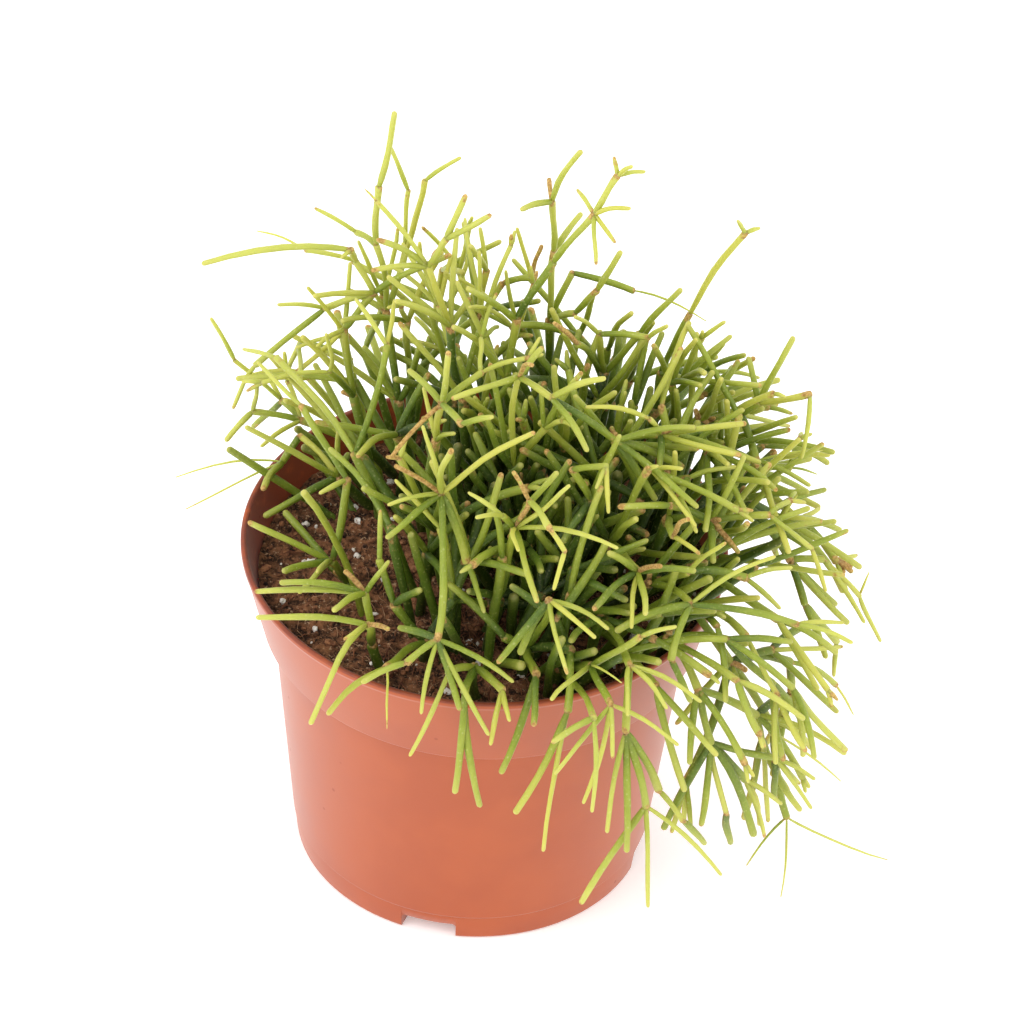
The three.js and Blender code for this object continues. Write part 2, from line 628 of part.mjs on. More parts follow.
function clearsStems(from, points, radius) {
  return stems.every((other) => {
    if (other.from === from || other.to === from) {
      return true;
    }
    const need = radius + other.radius + STEM_GAP;
    for (let i = 0; i < STEM_PARTS; i += 1) {
      for (let k = 0; k < STEM_PARTS; k += 1) {
        const p = other.points;
        if (pieceDistance(points[i], points[i + 1], p[k], p[k + 1]) <= need) {
          return false;
        }
      }
    }
    return true;
  });
}

function stemRadius(kind, end) {
  const share = 1 - (end.distanceTo(MOUND_MIDDLE) - SLIMMING.from) / SLIMMING.over;
  return kind.radius * Math.min(1, Math.max(SLIMMING.least, share));
}

function addStem(from, end, middle, kind) {
  const to = addJoint(end, from, joints[from].cutting);
  joints[from].shoots.push(end.clone().sub(joints[from].place).normalize());
  const points = pointsAlong(joints[from].place, middle, end, STEM_PARTS);
  stems.push({ from, to, middle, kind, radius: stemRadius(kind, end), points });
  return to;
}

// Stems from one joint stay apart in direction.
function clearsShoots(from, end) {
  const direction = end.clone().sub(joints[from].place).normalize();
  return joints[from].shoots.every((shoot) => shoot.angleTo(direction) > WHORL.apart);
}

// A stem that would touch its neighbours, the pot or the peat isn't grown.
function tryStem(from, end, kind, random, rooted) {
  const start = joints[from].place;
  const middle = bowedMiddle(start, end, random);
  const hasRoom = rooted ? !overBarePeat(end) : insideMound(end);
  if (!hasRoom || !clearsShoots(from, end)) {
    return null;
  }
  const radius = stemRadius(kind, end);
  if (!clearsPot(pointsAlong(start, middle, end, FINE_PARTS), radius, rooted)) {
    return null;
  }
  const points = pointsAlong(start, middle, end, STEM_PARTS);
  return clearsStems(from, points, radius) ? addStem(from, end, middle, kind) : null;
}

// Shoots spread round the end of a stem, leaning out of the mound and drooping further out.
function growWhorl(at, count, { lengths, kind, lean }, random) {
  const { place } = joints[at];
  const along = place.clone().sub(joints[joints[at].from].place).normalize();
  const side = new THREE.Vector3(along.y, -along.x, 0);
  if (side.length() > 0.05) {
    side.normalize();
  } else {
    side.set(1, 0, 0);
  }
  const across = new THREE.Vector3().crossVectors(along, side);
  const outward = place.clone().sub(MOUND_MIDDLE).normalize();
  const far = Math.hypot(place.x - MOUND_MIDDLE.x, place.y - MOUND_MIDDLE.y);
  const turn = random();
  const grown = [];
  for (let i = 0; i < count; i += 1) {
    for (let tries = 0; tries < WHORL.tries; tries += 1) {
      const round = (2 * Math.PI * (i + turn + WHORL.uneven * random())) / count;
      const tipped = between(random, WHORL.tipped);
      const length = between(random, lengths);
      const direction = along.clone().multiplyScalar(Math.cos(tipped));
      direction.addScaledVector(side, Math.cos(round) * Math.sin(tipped));
      direction.addScaledVector(across, Math.sin(round) * Math.sin(tipped));
      direction.addScaledVector(outward, lean);
      direction.z -= WHORL.droop * far;
      const end = place.clone().addScaledVector(direction.normalize(), length);
      const shoot = tryStem(at, end, kind, random, false);
      if (shoot !== null) {
        grown.push(shoot);
        break;
      }
    }
  }
  return grown;
}

const feet = CUTTINGS.map((cutting, index) => {
  const foot = addJoint(new THREE.Vector3(...cutting.foot, ROOT_Z), null, index);
  const own = [foot];
  for (const [from, x, y, z, kind] of cutting.stems) {
    const random = numberSource(7919 * (stems.length + 1));
    random();
    const end = new THREE.Vector3(x, y, z);
    const start = joints[own[from]].place;
    own.push(addStem(own[from], end, bowedMiddle(start, end, random), kind));
  }
  return foot;
});
const leadingStems = stems.slice();

const random = numberSource(47);

// Long old stems low under the mound, out from the foot of a cutting.
function growLowStems(foot) {
  const { place } = joints[foot];
  const grown = [];
  for (let i = 0; i < LOW_STEMS.count; i += 1) {
    for (let tries = 0; tries < LOW_STEMS.tries; tries += 1) {
      const straightOut = Math.atan2(place.y - FEET_MIDDLE.y, place.x - FEET_MIDDLE.x);
      const heading = straightOut + between(random, [-LOW_STEMS.turn, LOW_STEMS.turn]);
      const rise = between(random, LOW_STEMS.rise);
      const length = between(random, LOW_STEMS.length);
      const ahead = new THREE.Vector3(
        Math.cos(rise) * Math.cos(heading),
        Math.cos(rise) * Math.sin(heading),
        Math.sin(rise),
      );
      const end = place.clone().addScaledVector(ahead, length);
      const kept = tryStem(foot, end, OLD, random, true);
      if (kept !== null) {
        grown.push(kept);
        break;
      }
    }
  }
  return grown;
}

// Whorls at many joints, up to a number of shoots at each. Returns the joints that they add.
function growMore(ends, shoots, growth) {
  const grown = [];
  for (const end of ends) {
    if (random() < growth.chance) {
      const missing = Math.max(0, shoots - joints[end].shoots.length);
      grown.push(...growWhorl(end, missing, growth, random));
    }
  }
  return grown;
}

const endsOf = (chosen) => chosen.map(({ to }) => to);
const carries = ({ to }) => joints[to].shoots.length > 0;
const isFirm = ({ kind }) => kind === OLD || kind === GREEN;
const isHigh = ({ to }) => joints[to].place.z > HUB_Z;
const stemsNear = (place, reach) => stems.filter(({ to }) => joints[to].place.distanceTo(place) < reach);
const coreEnds = () => endsOf(stemsNear(CORE_MIDDLE, CORE_REACH).filter((stem) => !carries(stem)));

const lowEnds = feet.flatMap((foot) => growLowStems(foot));
const hubs = endsOf(leadingStems.filter((stem) => carries(stem) && isFirm(stem) && isHigh(stem)));
const bareEnds = endsOf(leadingStems.filter((stem) => !carries(stem) && stem.kind === GREEN));
const lowShoots = growMore(lowEnds, 4, { lengths: [22, 36], kind: GREEN, lean: 0.3, chance: 1 });
growMore(lowShoots, 3, { lengths: [16, 28], kind: GREEN, lean: 0.3, chance: 0.6 });
const hubShoots = growMore(hubs, 6, { lengths: [20, 34], kind: GREEN, lean: 0.8, chance: 1 });
growMore(coreEnds(), 4, { lengths: [18, 30], kind: GREEN, lean: 0.4, chance: 0.8 });
growMore(hubShoots, 3, { lengths: [14, 26], kind: FRESH, lean: 0.7, chance: 0.6 });
growMore(coreEnds(), 3, { lengths: [14, 24], kind: GREEN, lean: 0.3, chance: 0.3 });
growMore(bareEnds, 3, { lengths: [10, 20], kind: FRESH, lean: 0.55, chance: 0.5 });
for (const { at, reach, shoots, ...growth } of THICKETS) {
  growMore(endsOf(stemsNear(new THREE.Vector3(...at), reach)), shoots, growth);
}

// --- The cuttings' solids ---

function stemSteps(stem) {
  return Math.ceil(joints[stem.from].place.distanceTo(joints[stem.to].place) / STEP_LENGTH);
}

// A stem that carries others runs a little past its joint, so that they spring from its blunt end.
function stemRod(stem) {
  const start = joints[stem.from].place;
  const end = joints[stem.to].place.clone();
  if (joints[stem.to].shoots.length > 0) {
    const ahead = end.clone().sub(stem.middle).normalize();
    end.addScaledVector(ahead, PAST_JOINT * stem.radius);
  }
  const { radius } = stem;
  return rod(start, stem.middle, end, radius, NECK * radius, stemSteps(stem));
}

function makeCutting(index) {
  const own = stems.filter((stem) => joints[stem.from].cutting === index);
  const root = new THREE.OctahedronGeometry(ROOT_RADIUS).translate(...joints[feet[index]].place);
  return own.reduce((whole, stem) => whole.add(stemRod(stem)), solid(root));
}

// --- The peat ---

function makePeat() {
  const wallInside = (z) => RIM_RADIUS - WALL - wallDrop(z) - SEAT_GAP;
  const floorTop = FLOOR_UNDERSIDE_Z + FLOOR_THICKNESS;
  let peat = turned(
    [
      [0, floorTop + SEAT_GAP],
      [FOOT_RADIUS - 1.6, floorTop + SEAT_GAP],
      [WALL_TOP_RADIUS - WALL - SEAT_GAP, BAND_FOOT_Z - 1.2],
      [wallInside(BAND_FOOT_Z + 0.4), BAND_FOOT_Z + 0.4],
      [wallInside(PEAT_EDGE_Z), PEAT_EDGE_Z],
      [RIM_RADIUS - 12, PEAT_EDGE_Z + 0.9],
      [0, PEAT_MIDDLE_Z],
    ],
    POT_SIDES,
  );
  for (const stem of stems.filter(({ from }) => feet.includes(from))) {
    const start = joints[stem.from].place;
    const end = joints[stem.to].place;
    const wider = 2 * SEAT_GAP;
    const { radius } = stem;
    const steps = stemSteps(stem);
    const socket = rod(start, stem.middle, end, radius + wider, NECK * radius + wider, steps);
    peat = peat.subtract(socket);
  }
  for (const foot of feet) {
    const hollow = new THREE.OctahedronGeometry(ROOT_RADIUS + 2 * SEAT_GAP);
    peat = peat.subtract(solid(hollow.translate(...joints[foot].place)));
  }
  return peat;
}

// --- The scene ---

const plastic = { color: 0xcd6a4b, roughness: 0.45, metalness: 0 };
const peatLook = { color: 0x3b2a20, roughness: 1, metalness: 0 };
const stemLook = { color: 0x86a53c, roughness: 0.5, metalness: 0 };

const group = new THREE.Group();

function place(name, manifold, look) {
  const mesh = new THREE.Mesh(geometryOf(manifold), new THREE.MeshStandardMaterial(look));
  mesh.name = name;
  group.add(mesh);
}

place("pot", makePot(), plastic);
place("peat", makePeat(), peatLook);
CUTTINGS.forEach((cutting, index) => {
  place(`cutting_${cutting.name}`, makeCutting(index), stemLook);
});

export default group;
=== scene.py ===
import math

import bpy
import numpy as np
from mathutils import Matrix, Vector


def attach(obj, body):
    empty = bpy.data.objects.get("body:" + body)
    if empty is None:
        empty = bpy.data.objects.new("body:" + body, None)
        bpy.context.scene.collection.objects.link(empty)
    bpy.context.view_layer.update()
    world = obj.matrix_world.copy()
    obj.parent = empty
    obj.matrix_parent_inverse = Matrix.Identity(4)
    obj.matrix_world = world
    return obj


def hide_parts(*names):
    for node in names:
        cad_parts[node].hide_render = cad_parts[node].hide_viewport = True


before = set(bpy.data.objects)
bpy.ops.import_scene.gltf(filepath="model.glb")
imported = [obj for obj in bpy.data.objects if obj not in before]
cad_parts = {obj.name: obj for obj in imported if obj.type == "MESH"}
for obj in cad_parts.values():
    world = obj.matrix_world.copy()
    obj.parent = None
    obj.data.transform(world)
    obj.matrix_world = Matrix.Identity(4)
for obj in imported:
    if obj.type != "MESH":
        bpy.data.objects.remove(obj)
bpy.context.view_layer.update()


# --- The pot ---
# An injection-moulded nursery pot in one piece of terracotta plastic: a tapered wall with a wider
# band under the rim, a foot ring with four notches, and a raised floor with eight drain holes.

MM = 0.001
POT_HEIGHT = 92
RIM_RADIUS = 60
BAND_FOOT = (54.3, 69.2)
WALL_TOP = (51.4, 67.8)
FOOT_RADIUS = 44.1
FOOT_RING_WIDTH = 4.6
PAD_RADIUS = 10
WALL = 1.4
RIDGE_Z = 7.4
FLOOR_UNDERSIDE_Z = 3.6
FLOOR_TOP_Z = 5.2
NOTCH = {"count": 4, "first": -1.78, "width": 14, "height": 4, "corner": 1.1}
POT_TURNS = 288
DRAIN = {"count": 8, "radius": 2.5, "ring": 27, "from": 1.0, "to": 8.0}


def softened(corners, cuts, steps=5):
    """A polyline with each corner replaced by a quadratic curve that starts and ends a cut's length
    away from it; a cut of 0 leaves the corner as it is."""
    corners = np.array(corners, float)
    line = [corners[:1]]
    t = np.linspace(0, 1, steps)[:, None]
    for before, corner, after, cut in zip(corners, corners[1:], corners[2:], cuts):
        if cut == 0:
            line.append(corner[None])
            continue
        start = corner + cut * (before - corner) / np.linalg.norm(before - corner)
        end = corner + cut * (after - corner) / np.linalg.norm(after - corner)
        line.append((1 - t) ** 2 * start + 2 * t * (1 - t) * corner + t**2 * end)
    return np.concatenate([*line, corners[-1:]])


def even_turns(count):
    """Angles spread evenly round a full turn."""
    return np.arange(count) * 2 * math.pi / count


def round_axis(radius, turns, height):
    """Points at a distance from the Z axis, at an angle round it and at a height."""
    return np.stack(np.broadcast_arrays(radius * np.cos(turns), radius * np.sin(turns), height), -1)


def closed_faces(rows, columns, count=1, turned=False):
    """The faces of like grids of points whose columns close on themselves: quads between the rows,
    and triangles from the first and last rows to the two poles that follow a grid's own points.
    Turned faces point the other way."""
    row, column = np.meshgrid(np.arange(rows - 1), np.arange(columns), indexing="ij")
    here = row * columns + column
    beside = row * columns + (column + 1) % columns
    quads = np.stack([here, beside, beside + columns, here + columns], -1).reshape(-1, 4)
    ring, last = np.arange(columns), (rows - 1) * columns
    after = np.roll(ring, -1)
    pole = np.full(columns, rows * columns)
    caps = np.stack([[pole, pole + 1], [after, ring + last], [ring, after + last]], -1)
    first = np.arange(count)[:, None, None] * (rows * columns + 2)
    sets = [(faces + first).reshape(-1, faces.shape[-1]) for faces in (quads, caps.reshape(-1, 3))]
    return [faces[:, ::-1] for faces in sets] if turned else sets


def new_piece(name, points, quads, triangles=(), smooth=True):
    """A mesh object at the origin from an array of points in metres and arrays of faces."""
    mesh = bpy.data.meshes.new(name)
    faces = [tuple(face) for face in np.asarray(quads).tolist()]
    faces += [tuple(face) for face in np.asarray(triangles).tolist()]
    mesh.from_pydata(np.asarray(points, float).reshape(-1, 3), [], faces)
    mesh.polygons.foreach_set("use_smooth", np.full(len(mesh.polygons), smooth))
    mesh.update()
    piece = bpy.data.objects.new(name, mesh)
    bpy.context.scene.collection.objects.link(piece)
    return piece


def pot_points():
    """The pot's half section, its corners softened by the lengths in the second list, turned round
    Z on a grid of angles. The foot's points are lifted in each notch to the notch's height, which
    falls off in a quarter circle at its corners."""
    foot_inside = FOOT_RADIUS - FOOT_RING_WIDTH
    section = softened(
        [
            (PAD_RADIUS, 0),
            (PAD_RADIUS + 0.6, FLOOR_UNDERSIDE_Z),
            (foot_inside - 0.6, FLOOR_UNDERSIDE_Z),
            (foot_inside, 0),
            (FOOT_RADIUS - 0.2, 0),
            (FOOT_RADIUS + 0.55, RIDGE_Z - 0.5),
            (FOOT_RADIUS + 0.62, RIDGE_Z),
            (FOOT_RADIUS + 0.9, RIDGE_Z + 0.3),
            WALL_TOP,
            BAND_FOOT,
            (RIM_RADIUS - 0.45, POT_HEIGHT - 2.1),
            (RIM_RADIUS, POT_HEIGHT - 1.3),
            (RIM_RADIUS, POT_HEIGHT),
            (RIM_RADIUS - WALL, POT_HEIGHT),
            (BAND_FOOT[0] - WALL, BAND_FOOT[1]),
            (WALL_TOP[0] - WALL, WALL_TOP[1]),
            (FOOT_RADIUS - 1.2, FLOOR_TOP_Z),
            (PAD_RADIUS, FLOOR_TOP_Z),
        ],
        [0.3, 0.3, 0.3, 0.7, 0.6, 0.15, 0.15, 1.0, 0.5, 0.4, 0.35, 0.55, 0.5, 1.0, 1.0, 1.0],
    )
    centres = NOTCH["first"] + even_turns(NOTCH["count"])
    half = NOTCH["width"] / 2
    inward = np.array([-0.02, 0.02, 0.1, 0.25, 0.5, 0.8, NOTCH["corner"]])
    edges = np.concatenate([half - inward, inward - half]) / FOOT_RADIUS
    turns = np.concatenate([even_turns(POT_TURNS), (centres[:, None] + edges).ravel()])
    turns = np.unique(np.round(turns % (2 * math.pi), 6))
    away = np.abs((turns[:, None] - centres + math.pi) % (2 * math.pi) - math.pi).min(1)
    inside = half - away * FOOT_RADIUS
    short = np.clip(NOTCH["corner"] - inside, 0, NOTCH["corner"])
    top = NOTCH["height"] - NOTCH["corner"] + np.sqrt(NOTCH["corner"] ** 2 - short**2)
    lift = np.where(inside > 0, top, 0)
    radius, height = section[:, :1], section[:, 1:]
    foot_height = 6
    foot = (radius > foot_inside - 0.3) & (height < foot_height)
    height = height + np.where(foot, lift * (1 - height / foot_height), 0)
    return round_axis(radius, turns, height) * MM


def cut_drains(pot):
    """Takes short round pins out of the floor, spread evenly on a ring."""
    count, sides = DRAIN["count"], 24
    heights = np.array([[DRAIN["from"]], [DRAIN["to"]]])
    centres = round_axis(DRAIN["ring"], even_turns(count) + math.pi / count, 0)
    rings = round_axis(DRAIN["radius"], even_turns(sides), heights)
    pin = np.concatenate([rings.reshape(-1, 3), round_axis(0, 0, heights[:, 0])])
    points = (centres[:, None] + pin) * MM
    pins = new_piece("pins", points, *closed_faces(2, sides, count))
    cut = pot.modifiers.new("drains", "BOOLEAN")
    cut.operation, cut.solver, cut.object = "DIFFERENCE", "EXACT", pins
    bpy.context.view_layer.update()
    whole = pot.evaluated_get(bpy.context.evaluated_depsgraph_get())
    pot.data = bpy.data.meshes.new_from_object(whole)
    pot.modifiers.clear()
    bpy.data.objects.remove(pins)


class Wire:
    """A value on its way through a material's nodes: arithmetic on it adds Math nodes."""

    def __init__(self, tree, socket=None):
        self.tree = tree
        self.socket = socket

    def node(self, kind, settings, inputs, output=0):
        """Adds a node of a type, with its settings first and then its sockets' values or links."""
        node = self.tree.nodes.new("ShaderNode" + kind)
        for name, value in settings.items():
            if name == "stops":
                ramp = node.color_ramp
                while len(ramp.elements) < len(value):
                    ramp.elements.new(1)
                for element, (place, tone) in zip(ramp.elements, value):
                    element.position, element.color = place, tone
            else:
                setattr(node, name, value)
        for name, value in inputs.items():
            if isinstance(value, Wire):
                self.tree.links.new(value.socket, node.inputs[name])
            else:
                node.inputs[name].default_value = value
        return Wire(self.tree, node.outputs[output])

    def maths(self, operation, *values):
        """One Math node on numbers or wires."""
        return self.node("Math", {"operation": operation}, dict(enumerate(values)))

    def __add__(self, other):
        return self.maths("ADD", self, other)

    __radd__ = __add__

    def __sub__(self, other):
        return self.maths("SUBTRACT", self, other)

    def __rsub__(self, other):
        return self.maths("SUBTRACT", other, self)

    def __mul__(self, other):
        return self.maths("MULTIPLY", self, other)

    __rmul__ = __mul__

    def between(self, low, high):
        """0 below low and 1 above high, with a smooth step from one to the other."""
        settings = {"interpolation_type": "SMOOTHSTEP", "clamp": True}
        return self.node("MapRange", settings, {"Value": self, "From Min": low, "From Max": high})

    def mixed(self, first, second):
        """One colour where this value is 0, another where it is 1."""
        inputs = {0: self, 6: first, 7: second}
        return self.node("Mix", {"data_type": "RGBA"}, inputs, 2)


def colour(red, green, blue):
    """Screen values from 0 to 255 as the linear colour that a shader takes."""
    screen = np.array([red, green, blue]) / 255
    linear = np.where(screen <= 0.04045, screen / 12.92, ((screen + 0.055) / 1.055) ** 2.4)
    return (*linear.tolist(), 1.0)


def new_finish(name, settings):
    """A material whose Principled shader has these constant values; returns it and its first wire."""
    material = bpy.data.materials.new(name)
    material.use_nodes = True
    shader = material.node_tree.nodes["Principled BSDF"]
    for socket, value in settings.items():
        shader.inputs[socket].default_value = value
    return material, Wire(material.node_tree)


def place_on(wire):
    """The Object coordinates: the place on the piece, in metres."""
    return wire.node("TexCoord", {}, {}, 3)


def paint(material, **links):
    """Leads wires into the material's shader: base_color, roughness, normal and so on."""
    shader = material.node_tree.nodes["Principled BSDF"]
    for name, wire in links.items():
        socket = shader.inputs[name.replace("_", " ").title()]
        material.node_tree.links.new(wire.socket, socket)


def noise(wire, place, scale, detail=3, roughness=0.55):
    """Blender's own noise at a number of cells per metre."""
    inputs = {"Vector": place, "Scale": scale, "Detail": detail, "Roughness": roughness}
    return wire.node("TexNoise", {}, inputs)


def terracotta_plastic():
    """Moulded polypropylene: an even orange with faint clouds, fine moulding grain, a few dull
    specks, a browner, scuffed lip, and painted shade that darkens the inner wall above the peat. A
    place is inside the pot where its distance from the axis is less than the middle of the wall at
    its height."""
    material, wire = new_finish(
        "terracotta_plastic",
        {
            "IOR": 1.44,
            "Coat Weight": 0.1,
            "Coat Roughness": 0.2,
            "Subsurface Weight": 0.03,
            "Sheen Weight": 0.2,
            "Sheen Roughness": 0.4,
        },
    )
    place = place_on(wire)
    clouds = noise(wire, place, 45)
    grain = noise(wire, place, 2600, 2)
    x, y, height = (wire.node("SeparateXYZ", {}, {"Vector": place}, axis) for axis in range(3))
    out = wire.maths("SQRT", x * x + y * y)
    taper = (RIM_RADIUS - BAND_FOOT[0]) / (POT_HEIGHT - BAND_FOOT[1])
    wall_middle = height * taper + (RIM_RADIUS - WALL / 2 - POT_HEIGHT * taper) * MM
    inside = (wall_middle - out).between(0, 0.3 * MM)
    specks = wire.node("TexVoronoi", {}, {"Vector": place, "Scale": 95, "Randomness": 1})
    speck = 1 - specks.between(0.03, 0.06)
    base = clouds.between(0.3, 0.7).mixed(colour(168, 73, 23), colour(176, 80, 29))
    base = (speck * 0.5).mixed(base, colour(140, 62, 42))
    lip = height.between((POT_HEIGHT - 0.7) * MM, (POT_HEIGHT - 0.2) * MM)
    lip = lip * noise(wire, place, 160).between(0.2, 0.6)
    base = (lip * 0.8).mixed(base, colour(120, 52, 36))
    # Painted shade: in blotches on the inner wall above the peat, the colour is mixed towards a dark
    # red brown, and the same places are made rougher.
    above_peat = height.between(77 * MM, 79 * MM)
    inner_wall_shade = inside * above_peat * noise(wire, place, 220, 4).between(0.1, 0.5)
    base = (inner_wall_shade * 0.75).mixed(base, colour(98, 46, 32))
    normal = wire.node(
        "Bump", {}, {"Height": grain + clouds * 2, "Distance": 0.00004, "Strength": 0.35}
    )
    roughness = 0.36 + clouds * 0.12 + speck * 0.2 + inner_wall_shade * 0.25
    paint(material, base_color=base, roughness=roughness, normal=normal)
    return material


points = pot_points()
poles = round_axis(0, 0, np.array([0, FLOOR_TOP_Z * MM]))
pot = new_piece(
    "pot_shell", np.concatenate([points.reshape(-1, 3), poles]), *closed_faces(*points.shape[:2])
)
cut_drains(pot)
pot.data.materials.append(terracotta_plastic())
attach(pot, "root")
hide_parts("pot")


# --- The peat ---
# Damp potting peat fills the pot to about a centimetre under its lip. Its crumbly surface is strewn
# with fine roots, chips of bark and white grains of perlite, which keep it open.

PEAT_MIDDLE_Z, PEAT_EDGE_Z, PEAT_RADIUS = 82.6, 81.0, 55.4
PEAT_FOOT = (41.8, 5.6)
PEAT_RINGS, PEAT_TURNS = 170, 440
HOLLOW_Z, CREST_Z = 79.8, 83.4
PEAT_SIDE = [(55.2, 80.0), (52.3, 70.0), (49.6, 68.0), PEAT_FOOT, (10, PEAT_FOOT[1])]
# The height and the spacing of each size of crumb, and how far they are all let down.
CRUMB_SIZES = ((2.2, 8.0), (1.7, 3.9), (1.1, 1.9), (0.6, 0.95))
CRUMBS_DOWN = 2.8
# How far from the middle the litter lies.
ROOTS_REACH, GRAINS_REACH = 51, 54


def crumbs(x, y, cell, seed):
    """Round lumps: one minus the distance to the nearest of the points that are scattered one to a
    square cell, in cells, with each lump raised or lowered by its own amount."""
    repeat = 64
    table = np.random.default_rng(seed).random((repeat, repeat, 3))
    column, row = np.floor(x / cell).astype(int), np.floor(y / cell).astype(int)
    best = np.full(x.shape, 9.0)
    lift = np.zeros(x.shape)
    for across in (-1, 0, 1):
        for up in (-1, 0, 1):
            share = table[(column + across) % repeat, (row + up) % repeat]
            away = np.hypot(
                column + across + share[..., 0] - x / cell, row + up + share[..., 1] - y / cell
            )
            nearer = away < best
            best = np.where(nearer, away, best)
            lift = np.where(nearer, share[..., 2], lift)
    return np.sqrt(np.clip(1 - best**2, 0, 1)) * (0.5 + 0.5 * lift)


def peat_height(x, y):
    """The surface in millimetres: a low dome, plus crumbs of four sizes, the finest the lowest."""
    out = np.hypot(x, y) / PEAT_RADIUS
    dome = PEAT_MIDDLE_Z + (PEAT_EDGE_Z - PEAT_MIDDLE_Z) * np.clip(out, 0, 1) ** 2
    first_seed = 3
    sizes = enumerate(CRUMB_SIZES, first_seed)
    return dome - CRUMBS_DOWN + sum(high * crumbs(x, y, cell, seed) for seed, (high, cell) in sizes)


def peat_points():
    """Rings from the middle of the surface out to the wall, then down the wall to the floor."""
    turns = even_turns(PEAT_TURNS)
    reach = PEAT_RADIUS * np.linspace(0.004, 1, PEAT_RINGS)[:, None]
    top = round_axis(reach, turns, peat_height(reach * np.cos(turns), reach * np.sin(turns)))
    side = np.array(PEAT_SIDE)
    return np.concatenate([top, round_axis(side[:, :1], turns, side[:, 1:])])


def peat_look():
    """Dark brown peat with painted shade that blackens its hollows and its low edge by the wall, and
    rusty and tan fibres too fine to model.
    """
    material, wire = new_finish("potting_peat", {"Roughness": 0.95, "Specular IOR Level": 0.25})
    place = place_on(wire)
    lumps = noise(wire, place, 330, 4, 0.65)
    grain = noise(wire, place, 1500, 3, 0.7)
    height = wire.node("SeparateXYZ", {}, {"Vector": place}, 2)
    # Painted shade: below the crests, and most in the hollows and at the low edge by the wall, the
    # colour is mixed towards near black.
    unshaded_crest = height.between(HOLLOW_Z * MM, CREST_Z * MM)
    base = lumps.between(0.38, 0.66).mixed(colour(40, 24, 14), colour(144, 97, 66))
    base = (grain.between(0.5, 0.7) * 0.7).mixed(base, colour(164, 114, 80))
    base = (noise(wire, place, 900, 2).between(0.6, 0.7) * 0.75).mixed(base, colour(204, 166, 132))
    base = ((1 - unshaded_crest) * 0.65).mixed(base, colour(38, 22, 13))
    normal = wire.node(
        "Bump", {}, {"Height": grain + lumps, "Distance": 0.0006, "Strength": 0.9}
    )
    paint(material, base_color=base, normal=normal)
    return material


points = peat_points()
poles = [points[0].mean(0), [0, 0, PEAT_FOOT[1]]]
peat = new_piece(
    "peat_plug",
    np.concatenate([points.reshape(-1, 3), poles]) * MM,
    *closed_faces(*points.shape[:2], turned=True),
)
peat.data.materials.append(peat_look())
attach(peat, "root")
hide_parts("peat")


def tubes(centres, radii, sides, across):
    """Round tubes along many lines at once. centres is (tube, ring, 3), radii (tube, ring) and
    across one vector per tube that no part of its line runs along. A ring's vertices are its
    centre plus the radius times the cosine and sine round the two vectors square to the line.
    The first and last rings close on a vertex at their own centre."""
    ahead = np.gradient(centres, axis=1)
    ahead /= np.linalg.norm(ahead, axis=-1, keepdims=True)
    side = np.cross(ahead, across[:, None])
    side /= np.linalg.norm(side, axis=-1, keepdims=True)
    up = np.cross(ahead, side)
    turns = even_turns(sides)
    turned = np.cos(turns)[:, None] * side[:, :, None] + np.sin(turns)[:, None] * up[:, :, None]
    rings = centres[:, :, None] + radii[:, :, None, None] * turned
    count, rows = radii.shape
    points = np.concatenate([rings.reshape(count, -1, 3), centres[:, :1], centres[:, -1:]], axis=1)
    return points, *closed_faces(rows, sides, count)


def litter_look(name, dark, light, scale):
    """Dry plant litter between two colours, in patches."""
    material, wire = new_finish(name, {"Roughness": 0.85, "Specular IOR Level": 0.3})
    place = place_on(wire)
    patches = noise(wire, place, scale)
    paint(material, base_color=patches.between(0.35, 0.65).mixed(colour(*dark), colour(*light)))
    return material


def scattered(count, seed):
    """A repeatable array of numbers between 0 and 1."""
    return np.random.default_rng(seed).random(count)


def strewn(count, seed, reach):
    """Places spread evenly over the peat: the radius is the reach times a root of a number."""
    radius = reach * np.sqrt(scattered(count, seed))
    turn = 2 * math.pi * scattered(count, seed + 1)
    return radius * np.cos(turn), radius * np.sin(turn)


def root_fibres(count, seed, longest, thickness):
    """Fine roots: arcs that lie on the peat and wave a little above it, tapered at both ends."""
    x, y = strewn(count, seed, ROOTS_REACH)
    heading = 2 * math.pi * scattered(count, seed + 2)
    length = longest * (0.25 + 0.75 * scattered(count, seed + 3))
    bend = 1.9 * (scattered(count, seed + 4) - 0.5)
    wave = 6 * scattered(count, seed + 5)
    share = np.linspace(-0.5, 0.5, 7)
    turn = heading[:, None] + bend[:, None] * share
    line_x = x[:, None] + length[:, None] * share * np.cos(turn)
    line_y = y[:, None] + length[:, None] * share * np.sin(turn)
    shrink = np.minimum(1, (PEAT_RADIUS - 0.6) / np.hypot(line_x, line_y))
    line_x, line_y = line_x * shrink, line_y * shrink
    rise = 0.15 + 0.7 * np.abs(np.sin(wave[:, None] + 5 * share))
    line_z = peat_height(line_x, line_y) + rise
    line_z[:, [0, -1]] -= rise[:, [0, -1]] + 0.2
    own_thickness = thickness * (0.6 + 0.8 * scattered(count, seed + 6))
    radii = own_thickness[:, None] * (0.35 + 0.65 * np.cos(math.pi * share))
    centres = np.stack([line_x, line_y, line_z], -1) * MM
    across = np.tile([0.0, 0.0, 1.0], (count, 1))
    return tubes(centres, radii * MM, 4, across)


for name, count, seed, longest, thickness, dark, light in (
    ("brown_roots", 520, 20, 8, 0.14, (84, 46, 30), (146, 94, 64)),
    ("tan_roots", 200, 40, 9, 0.09, (128, 88, 62), (186, 146, 112)),
):
    piece = new_piece(name, *root_fibres(count, seed, longest, thickness))
    piece.data.materials.append(litter_look(name, dark, light, 260))
    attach(piece, "root")


